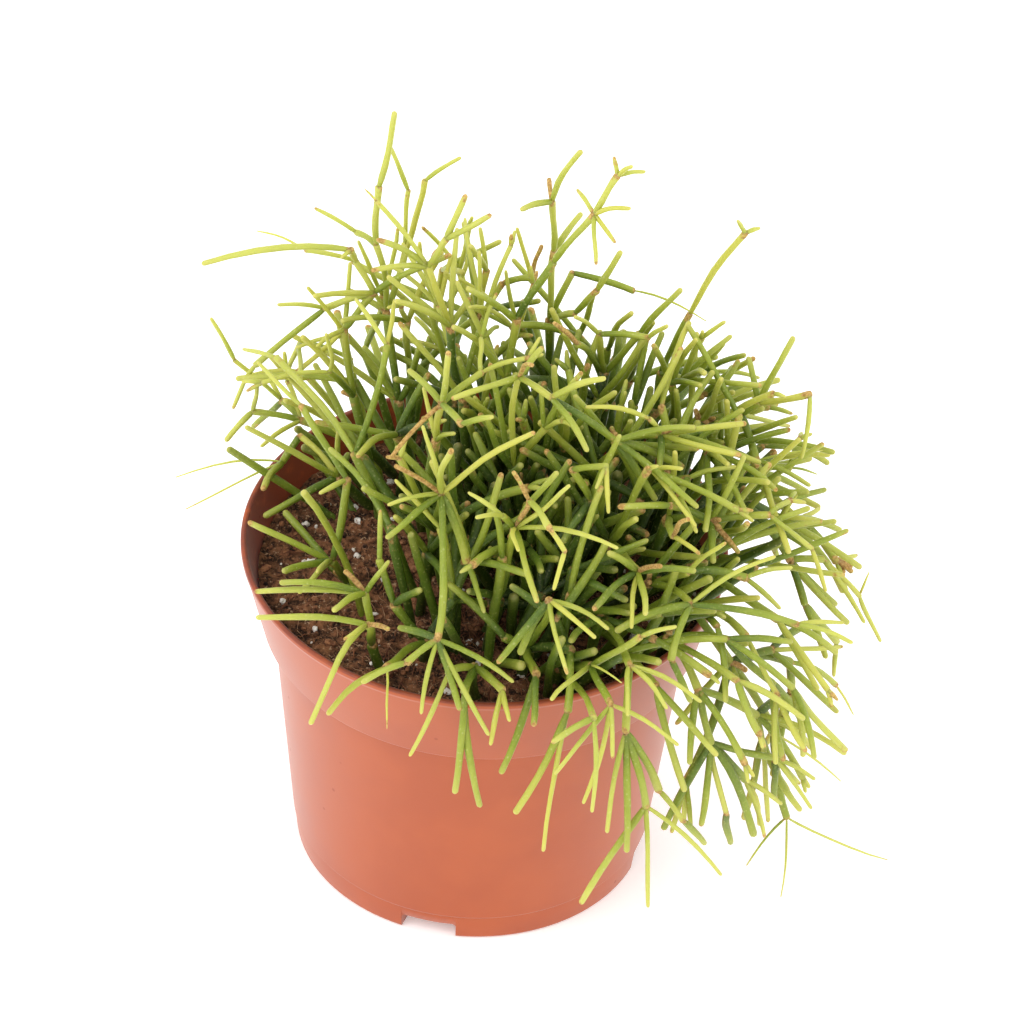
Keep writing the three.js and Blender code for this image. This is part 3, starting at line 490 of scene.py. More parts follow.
def rough_grains(count, seed, sizes, flatness):
    """Rough grains: a globe's grid of points, each ring and column pushed in or out at random and
    the whole flattened, turned at random and half sunk in the peat."""
    x, y = strewn(count, seed, GRAINS_REACH)
    rings, columns = 5, 7
    tilt = math.pi * (np.arange(rings)[:, None] + 1) / (rings + 1)
    globe = round_axis(np.sin(tilt), even_turns(columns), np.cos(tilt)).reshape(-1, 3)
    globe = np.concatenate([globe, [[0, 0, 1.0], [0, 0, -1.0]]])
    rough = np.random.default_rng(seed + 2)
    points = globe * (0.72 + 0.45 * rough.random((count, len(globe), 1)))
    points = points * np.array([1, 0.75, flatness])
    turn = 2 * math.pi * rough.random(count)
    lean = 0.9 * (rough.random(count) - 0.5)
    cos_lean, sin_lean = np.cos(lean)[:, None], np.sin(lean)[:, None]
    px = points[..., 0] * cos_lean - points[..., 2] * sin_lean
    pz = points[..., 0] * sin_lean + points[..., 2] * cos_lean
    cos_turn, sin_turn = np.cos(turn)[:, None], np.sin(turn)[:, None]
    size = (sizes[0] + (sizes[1] - sizes[0]) * rough.random(count) ** 2)[:, None]
    placed = np.stack(
        [
            x[:, None] + size * (px * cos_turn - points[..., 1] * sin_turn),
            y[:, None] + size * (px * sin_turn + points[..., 1] * cos_turn),
            (peat_height(x, y) + 0.1)[:, None] + size * pz,
        ],
        -1,
    )
    return placed * MM, *closed_faces(rings, columns, count, turned=True)


for name, count, seed, sizes, flatness, dark, light in (
    ("bark_chips", 260, 60, (0.5, 2.0), 0.45, (80, 44, 28), (160, 110, 76)),
    ("peat_crumbs", 1500, 70, (0.25, 1.1), 0.8, (36, 20, 13), (138, 92, 62)),
    ("perlite_grains", 170, 83, (0.35, 1.35), 0.85, (214, 204, 192), (244, 238, 230)),
):
    piece = new_piece(name, *rough_grains(count, seed, sizes, flatness), smooth=False)
    piece.data.materials.append(litter_look(name, dark, light, 400))
    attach(piece, "root")


# --- The cuttings: how they grow ---
# Thirty rooted cuttings share the pot. Each stands in the peat by its foot and branches again and
# again from the blunt ends of its stems, so it is a list of joints and of the stems between them.

OLD, GREEN, FRESH, THIN, CORKY = "old", "green", "fresh", "thin", "corky"

# A cutting's name, where its foot stands, then its stems in the order they grew. A stem is the
# joint it grows from (0 is the foot), the x, y and z of its own end in millimetres, and its kind.
CUTTINGS = [
    ("left_low", (-23, 26), [
        (0, -37, 16, 97, OLD), (1, -54, 6, 92, GREEN), (1, -37, 12, 116, FRESH),
        (1, -47, 24, 103, FRESH), (4, -51, 22, 96, GREEN), (5, -55, 8, 99, GREEN),
        (5, -77, 20, 91, THIN), (5, -74, 14, 86, THIN), (1, -35, 22, 99, GREEN),
    ]),
    ("left_high", (-20, 38), [
        (0, -31, 30, 96, OLD), (1, -47, 30, 103, GREEN), (2, -59, 30, 105, GREEN),
        (3, -65, 26, 99, GREEN), (2, -52, 36, 104, GREEN), (5, -64, 36, 116, FRESH),
        (6, -70, 38, 127, FRESH), (2, -51, 40, 107, FRESH), (8, -52, 42, 114, FRESH),
        (8, -48, 36, 123, FRESH), (3, -58, 26, 117, FRESH), (2, -56, 22, 101, FRESH),
        (5, -57, 42, 108, FRESH), (5, -59, 40, 92, GREEN),
    ]),
    ("top_left_a", (-26, 16), [
        (0, -34, 22, 118, OLD), (1, -37, 26, 136, OLD), (2, -30, 26, 148, GREEN),
        (3, -44, 16, 154, GREEN), (3, -42, 30, 139, GREEN), (5, -53, 28, 141, FRESH),
        (3, -35, 28, 156, GREEN), (7, -47, 26, 160, FRESH), (8, -59, 30, 162, THIN),
        (7, -36, 22, 164, GREEN), (10, -71, 14, 164, GREEN), (2, -43, 18, 137, FRESH),
        (2, -48, 26, 122, FRESH), (1, -40, 14, 132, GREEN),
    ]),
    ("top_left_b", (-12, 22), [
        (0, -23, 26, 114, OLD), (1, -27, 30, 139, OLD), (2, -30, 28, 161, GREEN),
        (3, -30, 28, 179, GREEN), (4, -27, 30, 200, GREEN), (3, -35, 34, 160, GREEN),
        (6, -45, 36, 165, FRESH), (2, -23, 38, 152, GREEN), (8, -23, 40, 169, FRESH),
        (9, -28, 42, 181, FRESH), (8, -19, 34, 177, GREEN), (11, -11, 32, 186, FRESH),
        (2, -36, 36, 140, GREEN), (1, -18, 18, 139, GREEN), (1, -32, 36, 122, GREEN),
    ]),
    ("top_left_c", (-4, 8), [
        (0, -7, 10, 129, OLD), (1, -11, 12, 150, OLD), (2, -17, 12, 168, GREEN),
        (3, -30, 16, 184, FRESH), (4, -33, 18, 186, THIN), (3, -13, 8, 180, GREEN),
        (6, -3, 4, 191, GREEN), (6, -9, 12, 190, GREEN), (3, -29, 10, 177, GREEN),
        (3, -30, 6, 171, GREEN), (3, -15, 20, 167, CORKY), (2, -24, 2, 165, GREEN),
        (2, -7, 20, 152, GREEN),
    ]),
    ("top_mid_a", (6, 26), [
        (0, -3, 28, 121, OLD), (1, -4, 28, 139, GREEN), (2, -3, 28, 155, GREEN),
        (3, -5, 30, 166, FRESH), (3, -7, 22, 167, GREEN), (2, -12, 34, 139, GREEN),
        (6, -7, 38, 154, FRESH), (2, 1, 32, 148, GREEN), (8, 8, 30, 152, GREEN), (9, 4, 32, 165, FRESH),
        (9, 10, 26, 165, CORKY), (1, -13, 36, 123, GREEN), (1, 5, 22, 140, GREEN),
    ]),
    ("top_mid_b", (12, 14), [
        (0, 3, 10, 136, OLD), (1, 5, 10, 155, OLD), (2, 13, 10, 173, OLD), (3, 22, 8, 190, GREEN),
        (4, 27, 8, 202, GREEN), (5, 26, 8, 207, FRESH), (5, 30, 4, 208, FRESH), (5, 33, 10, 202, FRESH),
        (4, 30, 2, 197, FRESH), (4, 27, 2, 187, FRESH), (4, 23, -4, 185, FRESH),
        (4, 18, 14, 192, FRESH), (3, 19, 22, 174, GREEN), (2, -7, 2, 170, GREEN),
    ]),
    ("top_mid_c", (20, 30), [
        (0, 13, 30, 120, OLD), (1, 13, 30, 139, OLD), (2, 13, 28, 162, GREEN), (3, 12, 26, 179, GREEN),
        (4, 18, 24, 196, GREEN), (4, 5, 20, 181, GREEN), (4, 11, 32, 181, CORKY),
        (3, 19, 34, 169, GREEN), (2, 18, 34, 151, GREEN), (9, 33, 32, 148, GREEN),
        (10, 51, 28, 143, THIN), (2, 19, 22, 148, GREEN), (12, 24, 20, 157, GREEN),
        (13, 29, 20, 169, GREEN), (1, 4, 40, 121, GREEN),
    ]),
    ("back_right_a", (28, 14), [
        (0, 26, 14, 128, OLD), (1, 27, 18, 133, OLD), (2, 35, 18, 146, GREEN), (3, 44, 18, 160, GREEN),
        (2, 25, 12, 150, GREEN), (5, 37, 8, 153, GREEN), (6, 41, 4, 160, FRESH), (5, 19, 2, 163, FRESH),
        (2, 20, 4, 153, GREEN), (9, 14, -2, 164, CORKY), (1, 16, 24, 125, GREEN),
    ]),
    ("back_right_b", (40, 20), [
        (0, 40, 22, 119, OLD), (1, 41, 24, 129, GREEN), (2, 47, 24, 148, GREEN),
        (3, 59, 24, 174, GREEN), (4, 57, 22, 179, FRESH), (4, 62, 26, 174, FRESH),
        (2, 46, 16, 134, GREEN), (7, 50, 16, 147, GREEN), (8, 55, 14, 154, FRESH),
        (7, 57, 22, 143, GREEN), (2, 51, 30, 125, GREEN), (11, 61, 30, 131, GREEN),
        (11, 65, 34, 121, FRESH),
    ]),
    ("right_back", (44, 8), [
        (0, 51, 10, 125, OLD), (1, 61, 12, 127, GREEN), (2, 65, 12, 131, GREEN),
        (3, 72, 14, 150, GREEN), (3, 77, 8, 138, GREEN), (5, 76, 0, 125, FRESH),
        (3, 62, 20, 138, GREEN), (2, 65, 2, 121, GREEN), (8, 78, 0, 116, FRESH), (8, 81, 6, 122, THIN),
        (1, 55, 2, 146, GREEN), (1, 53, -6, 129, GREEN), (2, 73, 22, 116, FRESH),
    ]),
    ("crown_a", (8, -4), [
        (0, 6, -12, 126, OLD), (1, 6, -18, 160, GREEN), (2, -9, -26, 159, GREEN),
        (2, 14, -24, 159, GREEN), (4, 26, -28, 169, GREEN), (4, 23, -34, 152, GREEN),
        (2, 11, -12, 164, GREEN), (2, 9, -28, 172, CORKY), (4, 30, -22, 145, GREEN),
        (1, -1, -22, 150, GREEN), (1, 13, -14, 141, GREEN),
    ]),
    ("crown_b", (-8, -5), [
        (0, -13, -16, 137, OLD), (1, -12, -20, 152, GREEN), (2, -11, -18, 166, GREEN),
        (2, -23, -28, 142, CORKY), (2, -7, -32, 156, GREEN), (5, 0, -36, 162, GREEN),
        (2, -20, -12, 155, GREEN), (2, -3, -10, 154, GREEN),
    ]),
    ("star_left", (-12, -12), [
        (0, -12, -20, 112, OLD), (1, -11, -32, 134, GREEN), (2, -16, -34, 156, FRESH),
        (2, -9, -42, 156, GREEN), (2, 10, -40, 161, GREEN), (2, -22, -38, 147, CORKY),
        (2, -23, -38, 135, FRESH), (2, -23, -44, 130, GREEN), (2, -10, -62, 114, GREEN),
        (9, -17, -64, 108, GREEN), (10, -27, -66, 103, GREEN), (9, -13, -70, 98, FRESH),
        (9, -4, -68, 98, GREEN), (9, 8, -64, 104, FRESH), (9, 3, -72, 94, FRESH),
        (2, -4, -40, 120, GREEN), (9, -19, -54, 110, GREEN),
    ]),
    ("front_left_a", (-28, -18), [
        (0, -33, -10, 85, OLD), (1, -37, -16, 97, GREEN), (2, -57, -16, 108, GREEN),
        (2, -48, -26, 102, GREEN), (2, -34, -12, 120, GREEN), (2, -40, -28, 104, FRESH),
        (2, -44, -30, 99, FRESH), (5, -40, -16, 119, FRESH),
    ]),
    ("front_left_b", (-22, -34), [
        (0, -26, -38, 90, OLD), (1, -28, -42, 110, GREEN), (2, -48, -42, 112, GREEN),
        (2, -54, -40, 107, GREEN), (2, -23, -42, 120, FRESH), (2, -33, -38, 113, CORKY),
        (1, -27, -50, 107, GREEN), (7, -53, -54, 111, GREEN), (7, -39, -77, 99, GREEN),
        (7, -32, -60, 111, FRESH), (2, -35, -52, 113, GREEN), (7, -22, -58, 113, CORKY),
    ]),
    ("front_left_c", (-14, -30), [
        (0, -13, -38, 92, OLD), (1, -21, -40, 105, GREEN), (2, -25, -38, 117, GREEN),
        (2, -15, -48, 117, GREEN), (1, -7, -36, 104, GREEN), (5, -3, -36, 117, GREEN),
        (5, 1, -31, 99, FRESH), (1, -22, -56, 99, GREEN), (8, -21, -72, 94, THIN),
        (8, -35, -70, 96, GREEN),
    ]),
    ("front_mid_a", (2, -28), [
        (0, 4, -34, 103, OLD), (1, 7, -42, 133, GREEN), (2, 4, -46, 140, GREEN),
        (3, -4, -42, 143, FRESH), (3, -2, -54, 146, FRESH), (2, 16, -46, 154, GREEN),
        (2, 19, -54, 157, FRESH), (2, 8, -58, 140, FRESH), (2, 13, -62, 128, GREEN),
        (2, 10, -48, 147, CORKY), (10, 6, -50, 157, CORKY), (2, 31, -60, 144, FRESH),
        (1, -3, -44, 114, GREEN), (10, 15, -60, 149, GREEN), (14, 19, -60, 142, FRESH),
        (15, 17, -64, 134, FRESH),
    ]),
    ("front_mid_b", (10, -34), [
        (0, 12, -40, 93, OLD), (1, 16, -56, 123, GREEN), (2, 21, -70, 113, FRESH),
        (2, 27, -66, 121, FRESH), (2, 30, -58, 117, FRESH), (2, 10, -58, 108, GREEN),
        (2, 5, -64, 110, GREEN), (1, 14, -58, 101, GREEN), (8, 14, -70, 96, GREEN),
        (8, 7, -72, 82, GREEN), (1, 22, -52, 104, OLD), (11, 22, -66, 97, GREEN),
        (12, 11, -74, 71, GREEN), (12, 18, -76, 61, FRESH), (1, 6, -44, 100, GREEN),
    ]),
    ("front_drape", (2, -44), [
        (0, -1, -52, 97, OLD), (1, -3, -62, 98, GREEN), (2, -4, -70, 73, GREEN), (2, 2, -70, 69, GREEN),
        (1, -7, -60, 102, GREEN), (5, -15, -72, 86, FRESH), (1, 6, -62, 99, GREEN),
        (7, 8, -70, 97, FRESH), (7, 4, -72, 91, FRESH),
    ]),
    ("front_right_a", (16, -40), [
        (0, 20, -40, 87, OLD), (1, 27, -56, 103, GREEN), (2, 18, -72, 106, FRESH),
        (2, 38, -62, 118, GREEN), (4, 46, -60, 120, FRESH), (2, 32, -72, 105, GREEN),
        (6, 20, -78, 88, FRESH), (6, 27, -78, 79, FRESH), (6, 33, -80, 96, FRESH),
        (6, 48, -78, 99, FRESH), (2, 34, -74, 114, THIN), (1, 28, -77, 105, GREEN),
        (12, 29, -82, 80, FRESH), (12, 19, -76, 96, GREEN),
    ]),
    ("front_right_b", (24, -28), [
        (0, 29, -40, 104, OLD), (1, 36, -62, 109, GREEN), (2, 53, -70, 106, FRESH),
        (2, 45, -74, 107, FRESH), (2, 36, -76, 106, FRESH), (2, 36, -70, 95, GREEN),
        (6, 42, -72, 73, GREEN), (7, 28, -80, 48, GREEN), (7, 44, -80, 48, FRESH),
        (7, 61, -74, 54, FRESH), (6, 33, -78, 70, FRESH), (6, 38, -78, 64, GREEN),
        (1, 22, -54, 109, GREEN), (1, 42, -50, 107, GREEN), (6, 45, -66, 73, GREEN),
    ]),
    ("right_mid_a", (22, -12), [
        (0, 30, -24, 115, OLD), (1, 37, -44, 123, GREEN), (2, 50, -46, 126, GREEN),
        (2, 36, -58, 118, FRESH), (2, 39, -60, 124, GREEN), (2, 42, -52, 132, CORKY),
        (2, 27, -58, 123, GREEN), (2, 30, -46, 130, GREEN), (1, 25, -28, 131, GREEN),
        (9, 20, -30, 142, GREEN), (10, 28, -34, 147, GREEN), (11, 26, -38, 144, FRESH),
        (11, 29, -42, 140, FRESH), (9, 19, -36, 125, GREEN),
    ]),
    ("right_mid_b", (30, -4), [
        (0, 37, -10, 117, OLD), (1, 30, -14, 138, GREEN), (2, 20, -16, 153, GREEN),
        (2, 39, -24, 138, GREEN), (2, 41, -14, 141, GREEN), (5, 38, -18, 149, FRESH),
        (6, 23, -22, 155, FRESH), (5, 45, -10, 138, FRESH), (5, 41, -22, 138, GREEN),
        (1, 48, -18, 131, GREEN), (10, 59, -14, 132, FRESH), (10, 46, -28, 134, GREEN),
        (1, 27, -8, 121, GREEN),
    ]),
    ("right_mid_c", (38, -8), [
        (0, 44, -18, 118, OLD), (1, 54, -24, 123, GREEN), (2, 61, -20, 140, GREEN),
        (2, 55, -36, 121, GREEN), (2, 61, -30, 119, CORKY), (2, 44, -32, 134, GREEN),
        (6, 32, -38, 138, GREEN), (2, 68, -24, 126, GREEN), (8, 79, -24, 116, FRESH),
        (9, 83, -26, 105, FRESH), (8, 73, -16, 124, FRESH), (1, 45, -36, 128, GREEN),
        (12, 51, -44, 130, FRESH), (12, 48, -46, 142, CORKY),
    ]),
    ("right_low_a", (34, -20), [
        (0, 40, -32, 109, OLD), (1, 50, -48, 117, GREEN), (2, 69, -42, 128, FRESH),
        (2, 76, -44, 109, GREEN), (4, 87, -38, 105, FRESH), (4, 89, -46, 106, FRESH),
        (2, 33, -54, 113, GREEN), (2, 46, -58, 108, GREEN), (8, 51, -62, 99, GREEN),
        (1, 49, -40, 120, GREEN), (10, 63, -36, 116, GREEN), (10, 57, -46, 135, FRESH),
    ]),
    ("right_low_b", (42, -16), [
        (0, 51, -28, 99, OLD), (1, 61, -36, 89, GREEN), (2, 49, -50, 81, FRESH),
        (2, 52, -52, 63, GREEN), (2, 70, -40, 68, FRESH), (2, 73, -32, 63, GREEN),
        (6, 78, -34, 37, GREEN), (7, 69, -40, 26, THIN), (7, 78, -40, 16, THIN),
        (7, 104, -28, 19, THIN), (6, 91, -24, 41, THIN), (2, 71, -30, 88, GREEN),
        (12, 88, -24, 85, FRESH), (2, 76, -26, 81, GREEN), (14, 77, -24, 70, GREEN),
        (15, 74, -28, 46, GREEN), (14, 88, -20, 69, FRESH), (17, 93, -18, 58, THIN),
    ]),
    ("right_far_a", (46, 0), [
        (0, 62, 0, 110, OLD), (1, 75, -4, 95, GREEN), (2, 83, -2, 94, GREEN), (3, 93, 0, 81, FRESH),
        (4, 99, 0, 67, FRESH), (4, 95, 4, 85, THIN), (3, 94, -8, 80, FRESH), (2, 79, -12, 88, GREEN),
        (8, 85, -16, 75, GREEN), (8, 88, -6, 71, GREEN), (10, 88, -8, 62, FRESH),
        (1, 72, 3, 102, GREEN), (12, 81, 3, 102, FRESH), (12, 76, 2, 112, FRESH),
    ]),
    ("right_far_b", (40, 14), [
        (0, 63, 14, 108, OLD), (1, 77, 10, 96, GREEN), (2, 87, 8, 85, GREEN), (3, 90, 4, 79, FRESH),
        (3, 92, 14, 82, FRESH), (2, 82, 18, 93, FRESH), (1, 74, 18, 106, GREEN),
        (7, 76, 24, 110, FRESH), (7, 81, 22, 101, THIN), (2, 72, 20, 78, GREEN),
    ]),
    ("right_hang", (34, -26), [
        (0, 45, -44, 102, OLD), (1, 53, -56, 97, GREEN), (2, 57, -58, 82, GREEN),
        (3, 73, -50, 71, GREEN), (3, 69, -58, 53, OLD), (3, 47, -66, 61, GREEN),
        (3, 56, -64, 61, GREEN), (3, 62, -60, 61, FRESH), (2, 68, -46, 81, GREEN),
        (9, 73, -44, 45, FRESH), (2, 52, -64, 81, GREEN), (9, 76, -34, 76, OLD),
        (3, 66, -54, 67, GREEN),
    ]),
]

STEM_RADIUS = {OLD: 1.25, GREEN: 1.08, FRESH: 0.9, THIN: 0.5, CORKY: 0.92}
ROOT_Z = 73
LIP_BEAD = 0.8
STEM_GAP, POT_GAP = 0.4, 0.7
STEM_BOW, STRAIGHT_LENGTH = 0.15, 14
STEM_SHARES, FINE_SHARES = np.linspace(0, 1, 5), np.linspace(0, 1, 21)
TINY = 1e-9

# The mound: its middle, its egg shapes as middles and half sizes, the lowest heights that a shoot
# may end at, the room it keeps at the lip, the corners over bare peat, and the dense core.
MOUND_MIDDLE = np.array([14.0, 0.0, 70.0])
MOUNDS = (
    ((20, -2, 90), (74, 54, 71)),
    ((-14, 20, 138), (36, 26, 36)),
    ((58, -40, 76), (34, 30, 36)),
    ((-42, 16, 116), (26, 24, 24)),
)
LOWEST_OVER_GROUND, LOWEST_OVER_PEAT, LOWEST_OVER_LIP = 35, 88, 97
LIP_ROOM_INSIDE, LIP_ROOM_OUTSIDE = 10, 2
BARE_CORNERS = ((-14, 14, 126), (6, -32, 112))
CORE_MIDDLE, CORE_REACH, HUB_Z = (24, -4, 104), 46, 62
SLIMMING = {"from": 45, "over": 120, "least": 0.66}
FEET_MIDDLE = (6, -4)
LOW_STEMS = {"count": 4, "tries": 20, "turn": 1, "rise": (0.5, 1.3), "length": (34, 60)}
WHORL = {"tries": 7, "apart": 0.4, "tipped": (0.2, 0.85), "uneven": 0.6, "droop": 0.011}

# The thickets: the middle and reach of each, then the most shoots at a joint, their lengths and
# kind, the lean out of the mound, and the share of joints that bear them.
THICKETS = (
    ((14, -10, 98), 26, 5, (14, 30), GREEN, 0, 0.9),
    ((-22, 14, 128), 34, 4, (12, 24), FRESH, 0.5, 0.2),
    ((-44, 16, 116), 22, 3, (12, 24), FRESH, 0.3, 0.4),
    ((48, -52, 78), 34, 4, (14, 30), GREEN, 0, 0.6),
    ((72, -26, 80), 26, 4, (14, 30), GREEN, 0, 0.6),
)


def number_source(seed):
    """Repeatable numbers between 0 and 1: each is the last one times 48271, modulo 2^31 - 1."""
    state = seed
    while True:
        state = state * 48271 % 2147483647
        yield state / 2147483647


def between(numbers, limits):
    """The next number, spread between two limits."""
    return limits[0] + (limits[1] - limits[0]) * next(numbers)


def along_curve(start, middle, end, shares):
    """Points on a quadratic curve: start, middle and end weighted by (1-t)^2, 2t(1-t) and t^2."""
    t = shares[:, None]
    return (1 - t) ** 2 * start + 2 * t * (1 - t) * middle + t**2 * end


def bowed_middle(start, end, numbers):
    """The curve's middle point: halfway, moved by a share of the length in each direction."""
    length = math.dist(start, end)
    bow = STEM_BOW * length if length > STRAIGHT_LENGTH else 0
    return (start + end) / 2 + bow * np.array([next(numbers) - 0.5 for _ in range(3)])


def piece_distance(start, end, other_start, other_end):
    """The distance between straight pieces: the nearest points are found on the endless lines,
    held to the ends of the pieces, and measured."""
    ours, theirs, apart = end - start, other_end - other_start, start - other_start
    our_square, their_square = (ours * ours).sum(-1) + TINY, (theirs * theirs).sum(-1) + TINY
    our_lead, their_lead = (ours * apart).sum(-1), (theirs * apart).sum(-1)
    shared = (ours * theirs).sum(-1)
    slant = np.maximum(our_square * their_square - shared * shared, TINY)
    ours_at = np.clip((shared * their_lead - our_lead * their_square) / slant, 0, 1)
    theirs_at = np.clip((shared * ours_at + their_lead) / their_square, 0, 1)
    ours_at = np.clip((shared * theirs_at - our_lead) / our_square, 0, 1)
    between_points = apart + ours * ours_at[..., None] - theirs * theirs_at[..., None]
    return np.linalg.norm(between_points, axis=-1)


def clears_pot(points, radius, rooted):
    """Whether a stem keeps off the lip, a round bead, and the wall, and off peat it isn't in."""
    need = radius + POT_GAP
    bead_out, bead_z = RIM_RADIUS - WALL / 2, POT_HEIGHT - LIP_BEAD
    out, z = np.hypot(points[:, 0], points[:, 1]), points[:, 2]
    band_taper = RIM_RADIUS - BAND_FOOT[0]
    drop = np.minimum(band_taper * ((POT_HEIGHT - z) / (POT_HEIGHT - BAND_FOOT[1])), band_taper)
    off_lip = np.hypot(out - bead_out, z - bead_z) >= need + LIP_BEAD
    outside = out >= RIM_RADIUS - drop + need
    inside = out <= RIM_RADIUS - WALL - drop - need
    in_peat = z < PEAT_MIDDLE_Z + need
    in_peat[:-1] &= not rooted
    beside = np.where(out >= bead_out - drop, outside, inside & ~in_peat)
    return bool(np.where(z >= bead_z, off_lip, beside).all())


def over_bare_peat(point):
    """Whether a place is in one of the corners that stay free for watering."""
    return any(all(np.less(point, corner)) for corner in BARE_CORNERS)


def inside_mound(point):
    """The room that the shorter shoots fill: the mound, clear of the lip, peat and ground."""
    out = math.hypot(point[0], point[1])
    if all((((point - middle) / np.array(half)) ** 2).sum() > 1 for middle, half in MOUNDS):
        return False
    if point[2] < LOWEST_OVER_LIP and out < RIM_RADIUS + LIP_ROOM_OUTSIDE:
        return point[2] > LOWEST_OVER_PEAT and out < RIM_RADIUS - LIP_ROOM_INSIDE
    return point[2] > LOWEST_OVER_GROUND and not over_bare_peat(point)


joints = []
stems = []
MOST_STEMS = 3000
stem_points = np.zeros((MOST_STEMS, 5, 3))
stem_radii, stem_reach = np.zeros(MOST_STEMS), np.zeros(MOST_STEMS)
stem_joints = np.full((MOST_STEMS, 2), -1)


def add_joint(place, source, cutting):
    """Keeps a joint, with the joint it grew from; returns its number."""
    joints.append({"place": place, "from": source, "cutting": cutting, "shoots": []})
    return len(joints) - 1


def sphere_round(points):
    """The radius of the sphere round a stem's middle point that holds all its points."""
    return np.linalg.norm(points - points[2], axis=1).max()


def stem_radius(kind, end):
    """A kind's own radius, less where the end lies far out from the middle of the mound."""
    share = 1 - (math.dist(end, MOUND_MIDDLE) - SLIMMING["from"]) / SLIMMING["over"]
    return STEM_RADIUS[kind] * min(1, max(SLIMMING["least"], share))


def add_stem(source, end, middle, kind):
    """Keeps a stem: a joint at its end, its direction, and the five points that stand for it."""
    start = joints[source]["place"]
    to = add_joint(end, source, joints[source]["cutting"])
    joints[source]["shoots"].append((end - start) / math.dist(start, end))
    number = len(stems)
    stem_points[number] = along_curve(start, middle, end, STEM_SHARES)
    stem_reach[number] = sphere_round(stem_points[number])
    stem_radii[number] = radius = stem_radius(kind, end)
    stem_joints[number] = source, to
    stems.append({"from": source, "to": to, "middle": middle, "kind": kind, "radius": radius})
    return to


def clears_stems(source, points, radius):
    """Whether a stem keeps a gap to every stem that doesn't meet it at its own joint. A stem can
    only be close if the spheres round both are, each as wide as the stem is long."""
    known = len(stems)
    others = (stem_joints[:known] != source).all(1)
    apart = np.linalg.norm(stem_points[:known, 2] - points[2], axis=1)
    others &= apart < stem_reach[:known] + sphere_round(points) + 2 * STEM_RADIUS[OLD] + STEM_GAP
    if not others.any():
        return True
    other = stem_points[:known][others]
    away = piece_distance(
        points[None, :-1, None], points[None, 1:, None], other[:, None, :-1], other[:, None, 1:]
    )
    return bool((away.min((1, 2)) > radius + stem_radii[:known][others] + STEM_GAP).all())


def try_stem(source, end, kind, numbers, rooted):
    """A stem that would touch its neighbours, the pot or the peat isn't grown."""
    start = joints[source]["place"]
    middle = bowed_middle(start, end, numbers)
    ahead = (end - start) / math.dist(start, end)
    apart = all(ahead @ shoot < math.cos(WHORL["apart"]) for shoot in joints[source]["shoots"])
    if not apart or not (not over_bare_peat(end) if rooted else inside_mound(end)):
        return None
    radius = stem_radius(kind, end)
    if not clears_pot(along_curve(start, middle, end, FINE_SHARES), radius, rooted):
        return None
    points = along_curve(start, middle, end, STEM_SHARES)
    return add_stem(source, end, middle, kind) if clears_stems(source, points, radius) else None


def grow_whorl(at, count, lengths, kind, lean, numbers):
    """Shoots spread round the end of a stem: each direction is the stem's own, tipped away from
    it, plus a lean out of the mound, less a droop that grows with the distance from its middle."""
    place = joints[at]["place"]
    along = place - joints[joints[at]["from"]]["place"]
    along = along / np.linalg.norm(along)
    side = np.array([along[1], -along[0], 0.0])
    side = side / np.linalg.norm(side) if np.linalg.norm(side) > 0.05 else np.array([1.0, 0, 0])
    across = np.cross(along, side)
    outward = place - MOUND_MIDDLE
    outward = outward / np.linalg.norm(outward)
    far = math.hypot(place[0] - MOUND_MIDDLE[0], place[1] - MOUND_MIDDLE[1])
    turn = next(numbers)
    grown = []
    for number in range(count):
        for _ in range(WHORL["tries"]):
            around = 2 * math.pi * (number + turn + WHORL["uneven"] * next(numbers)) / count
            tipped = between(numbers, WHORL["tipped"])
            length = between(numbers, lengths)
            aside = side * math.cos(around) + across * math.sin(around)
            ahead = along * math.cos(tipped) + aside * math.sin(tipped) + outward * lean
            ahead[2] -= WHORL["droop"] * far
            end = place + ahead / np.linalg.norm(ahead) * length
            shoot = try_stem(at, end, kind, numbers, False)
            if shoot is not None:
                grown.append(shoot)
                break
    return grown


feet = []
for index, (name, foot, own_stems) in enumerate(CUTTINGS):
    own = [add_joint(np.array([*foot, ROOT_Z], float), None, index)]
    feet.append(own[0])
    for source, x, y, z, kind in own_stems:
        numbers = number_source(7919 * (len(stems) + 1))
        next(numbers)
        end = np.array([x, y, z], float)
        middle = bowed_middle(joints[own[source]]["place"], end, numbers)
        own.append(add_stem(own[source], end, middle, kind))
leading_stems = list(stems)

numbers = number_source(47)


def grow_low_stems(foot):
    """Long old stems low under the mound, out from a foot at an angle to straight outwards."""
    place = joints[foot]["place"]
    grown = []
    for _ in range(LOW_STEMS["count"]):
        for _ in range(LOW_STEMS["tries"]):
            heading = math.atan2(place[1] - FEET_MIDDLE[1], place[0] - FEET_MIDDLE[0])
            heading += between(numbers, (-LOW_STEMS["turn"], LOW_STEMS["turn"]))
            rise = between(numbers, LOW_STEMS["rise"])
            length = between(numbers, LOW_STEMS["length"])
            level = math.cos(rise)
            ahead = [level * math.cos(heading), level * math.sin(heading), math.sin(rise)]
            kept = try_stem(foot, place + np.array(ahead) * length, OLD, numbers, True)
            if kept is not None:
                grown.append(kept)
                break
    return grown


def grow_more(ends, shoots, lengths, kind, lean, share):
    """Whorls at a share of many joints, up to a number of shoots at each, with their lengths, kind
    and lean out of the mound; returns the joints they add."""
    grown = []
    for end in ends:
        if next(numbers) < share:
            missing = max(0, shoots - len(joints[end]["shoots"]))
            grown += grow_whorl(end, missing, lengths, kind, lean, numbers)
    return grown


def ends_near(place, reach):
    """The joints within a distance of a place."""
    return [stem["to"] for stem in stems if math.dist(joints[stem["to"]]["place"], place) < reach]


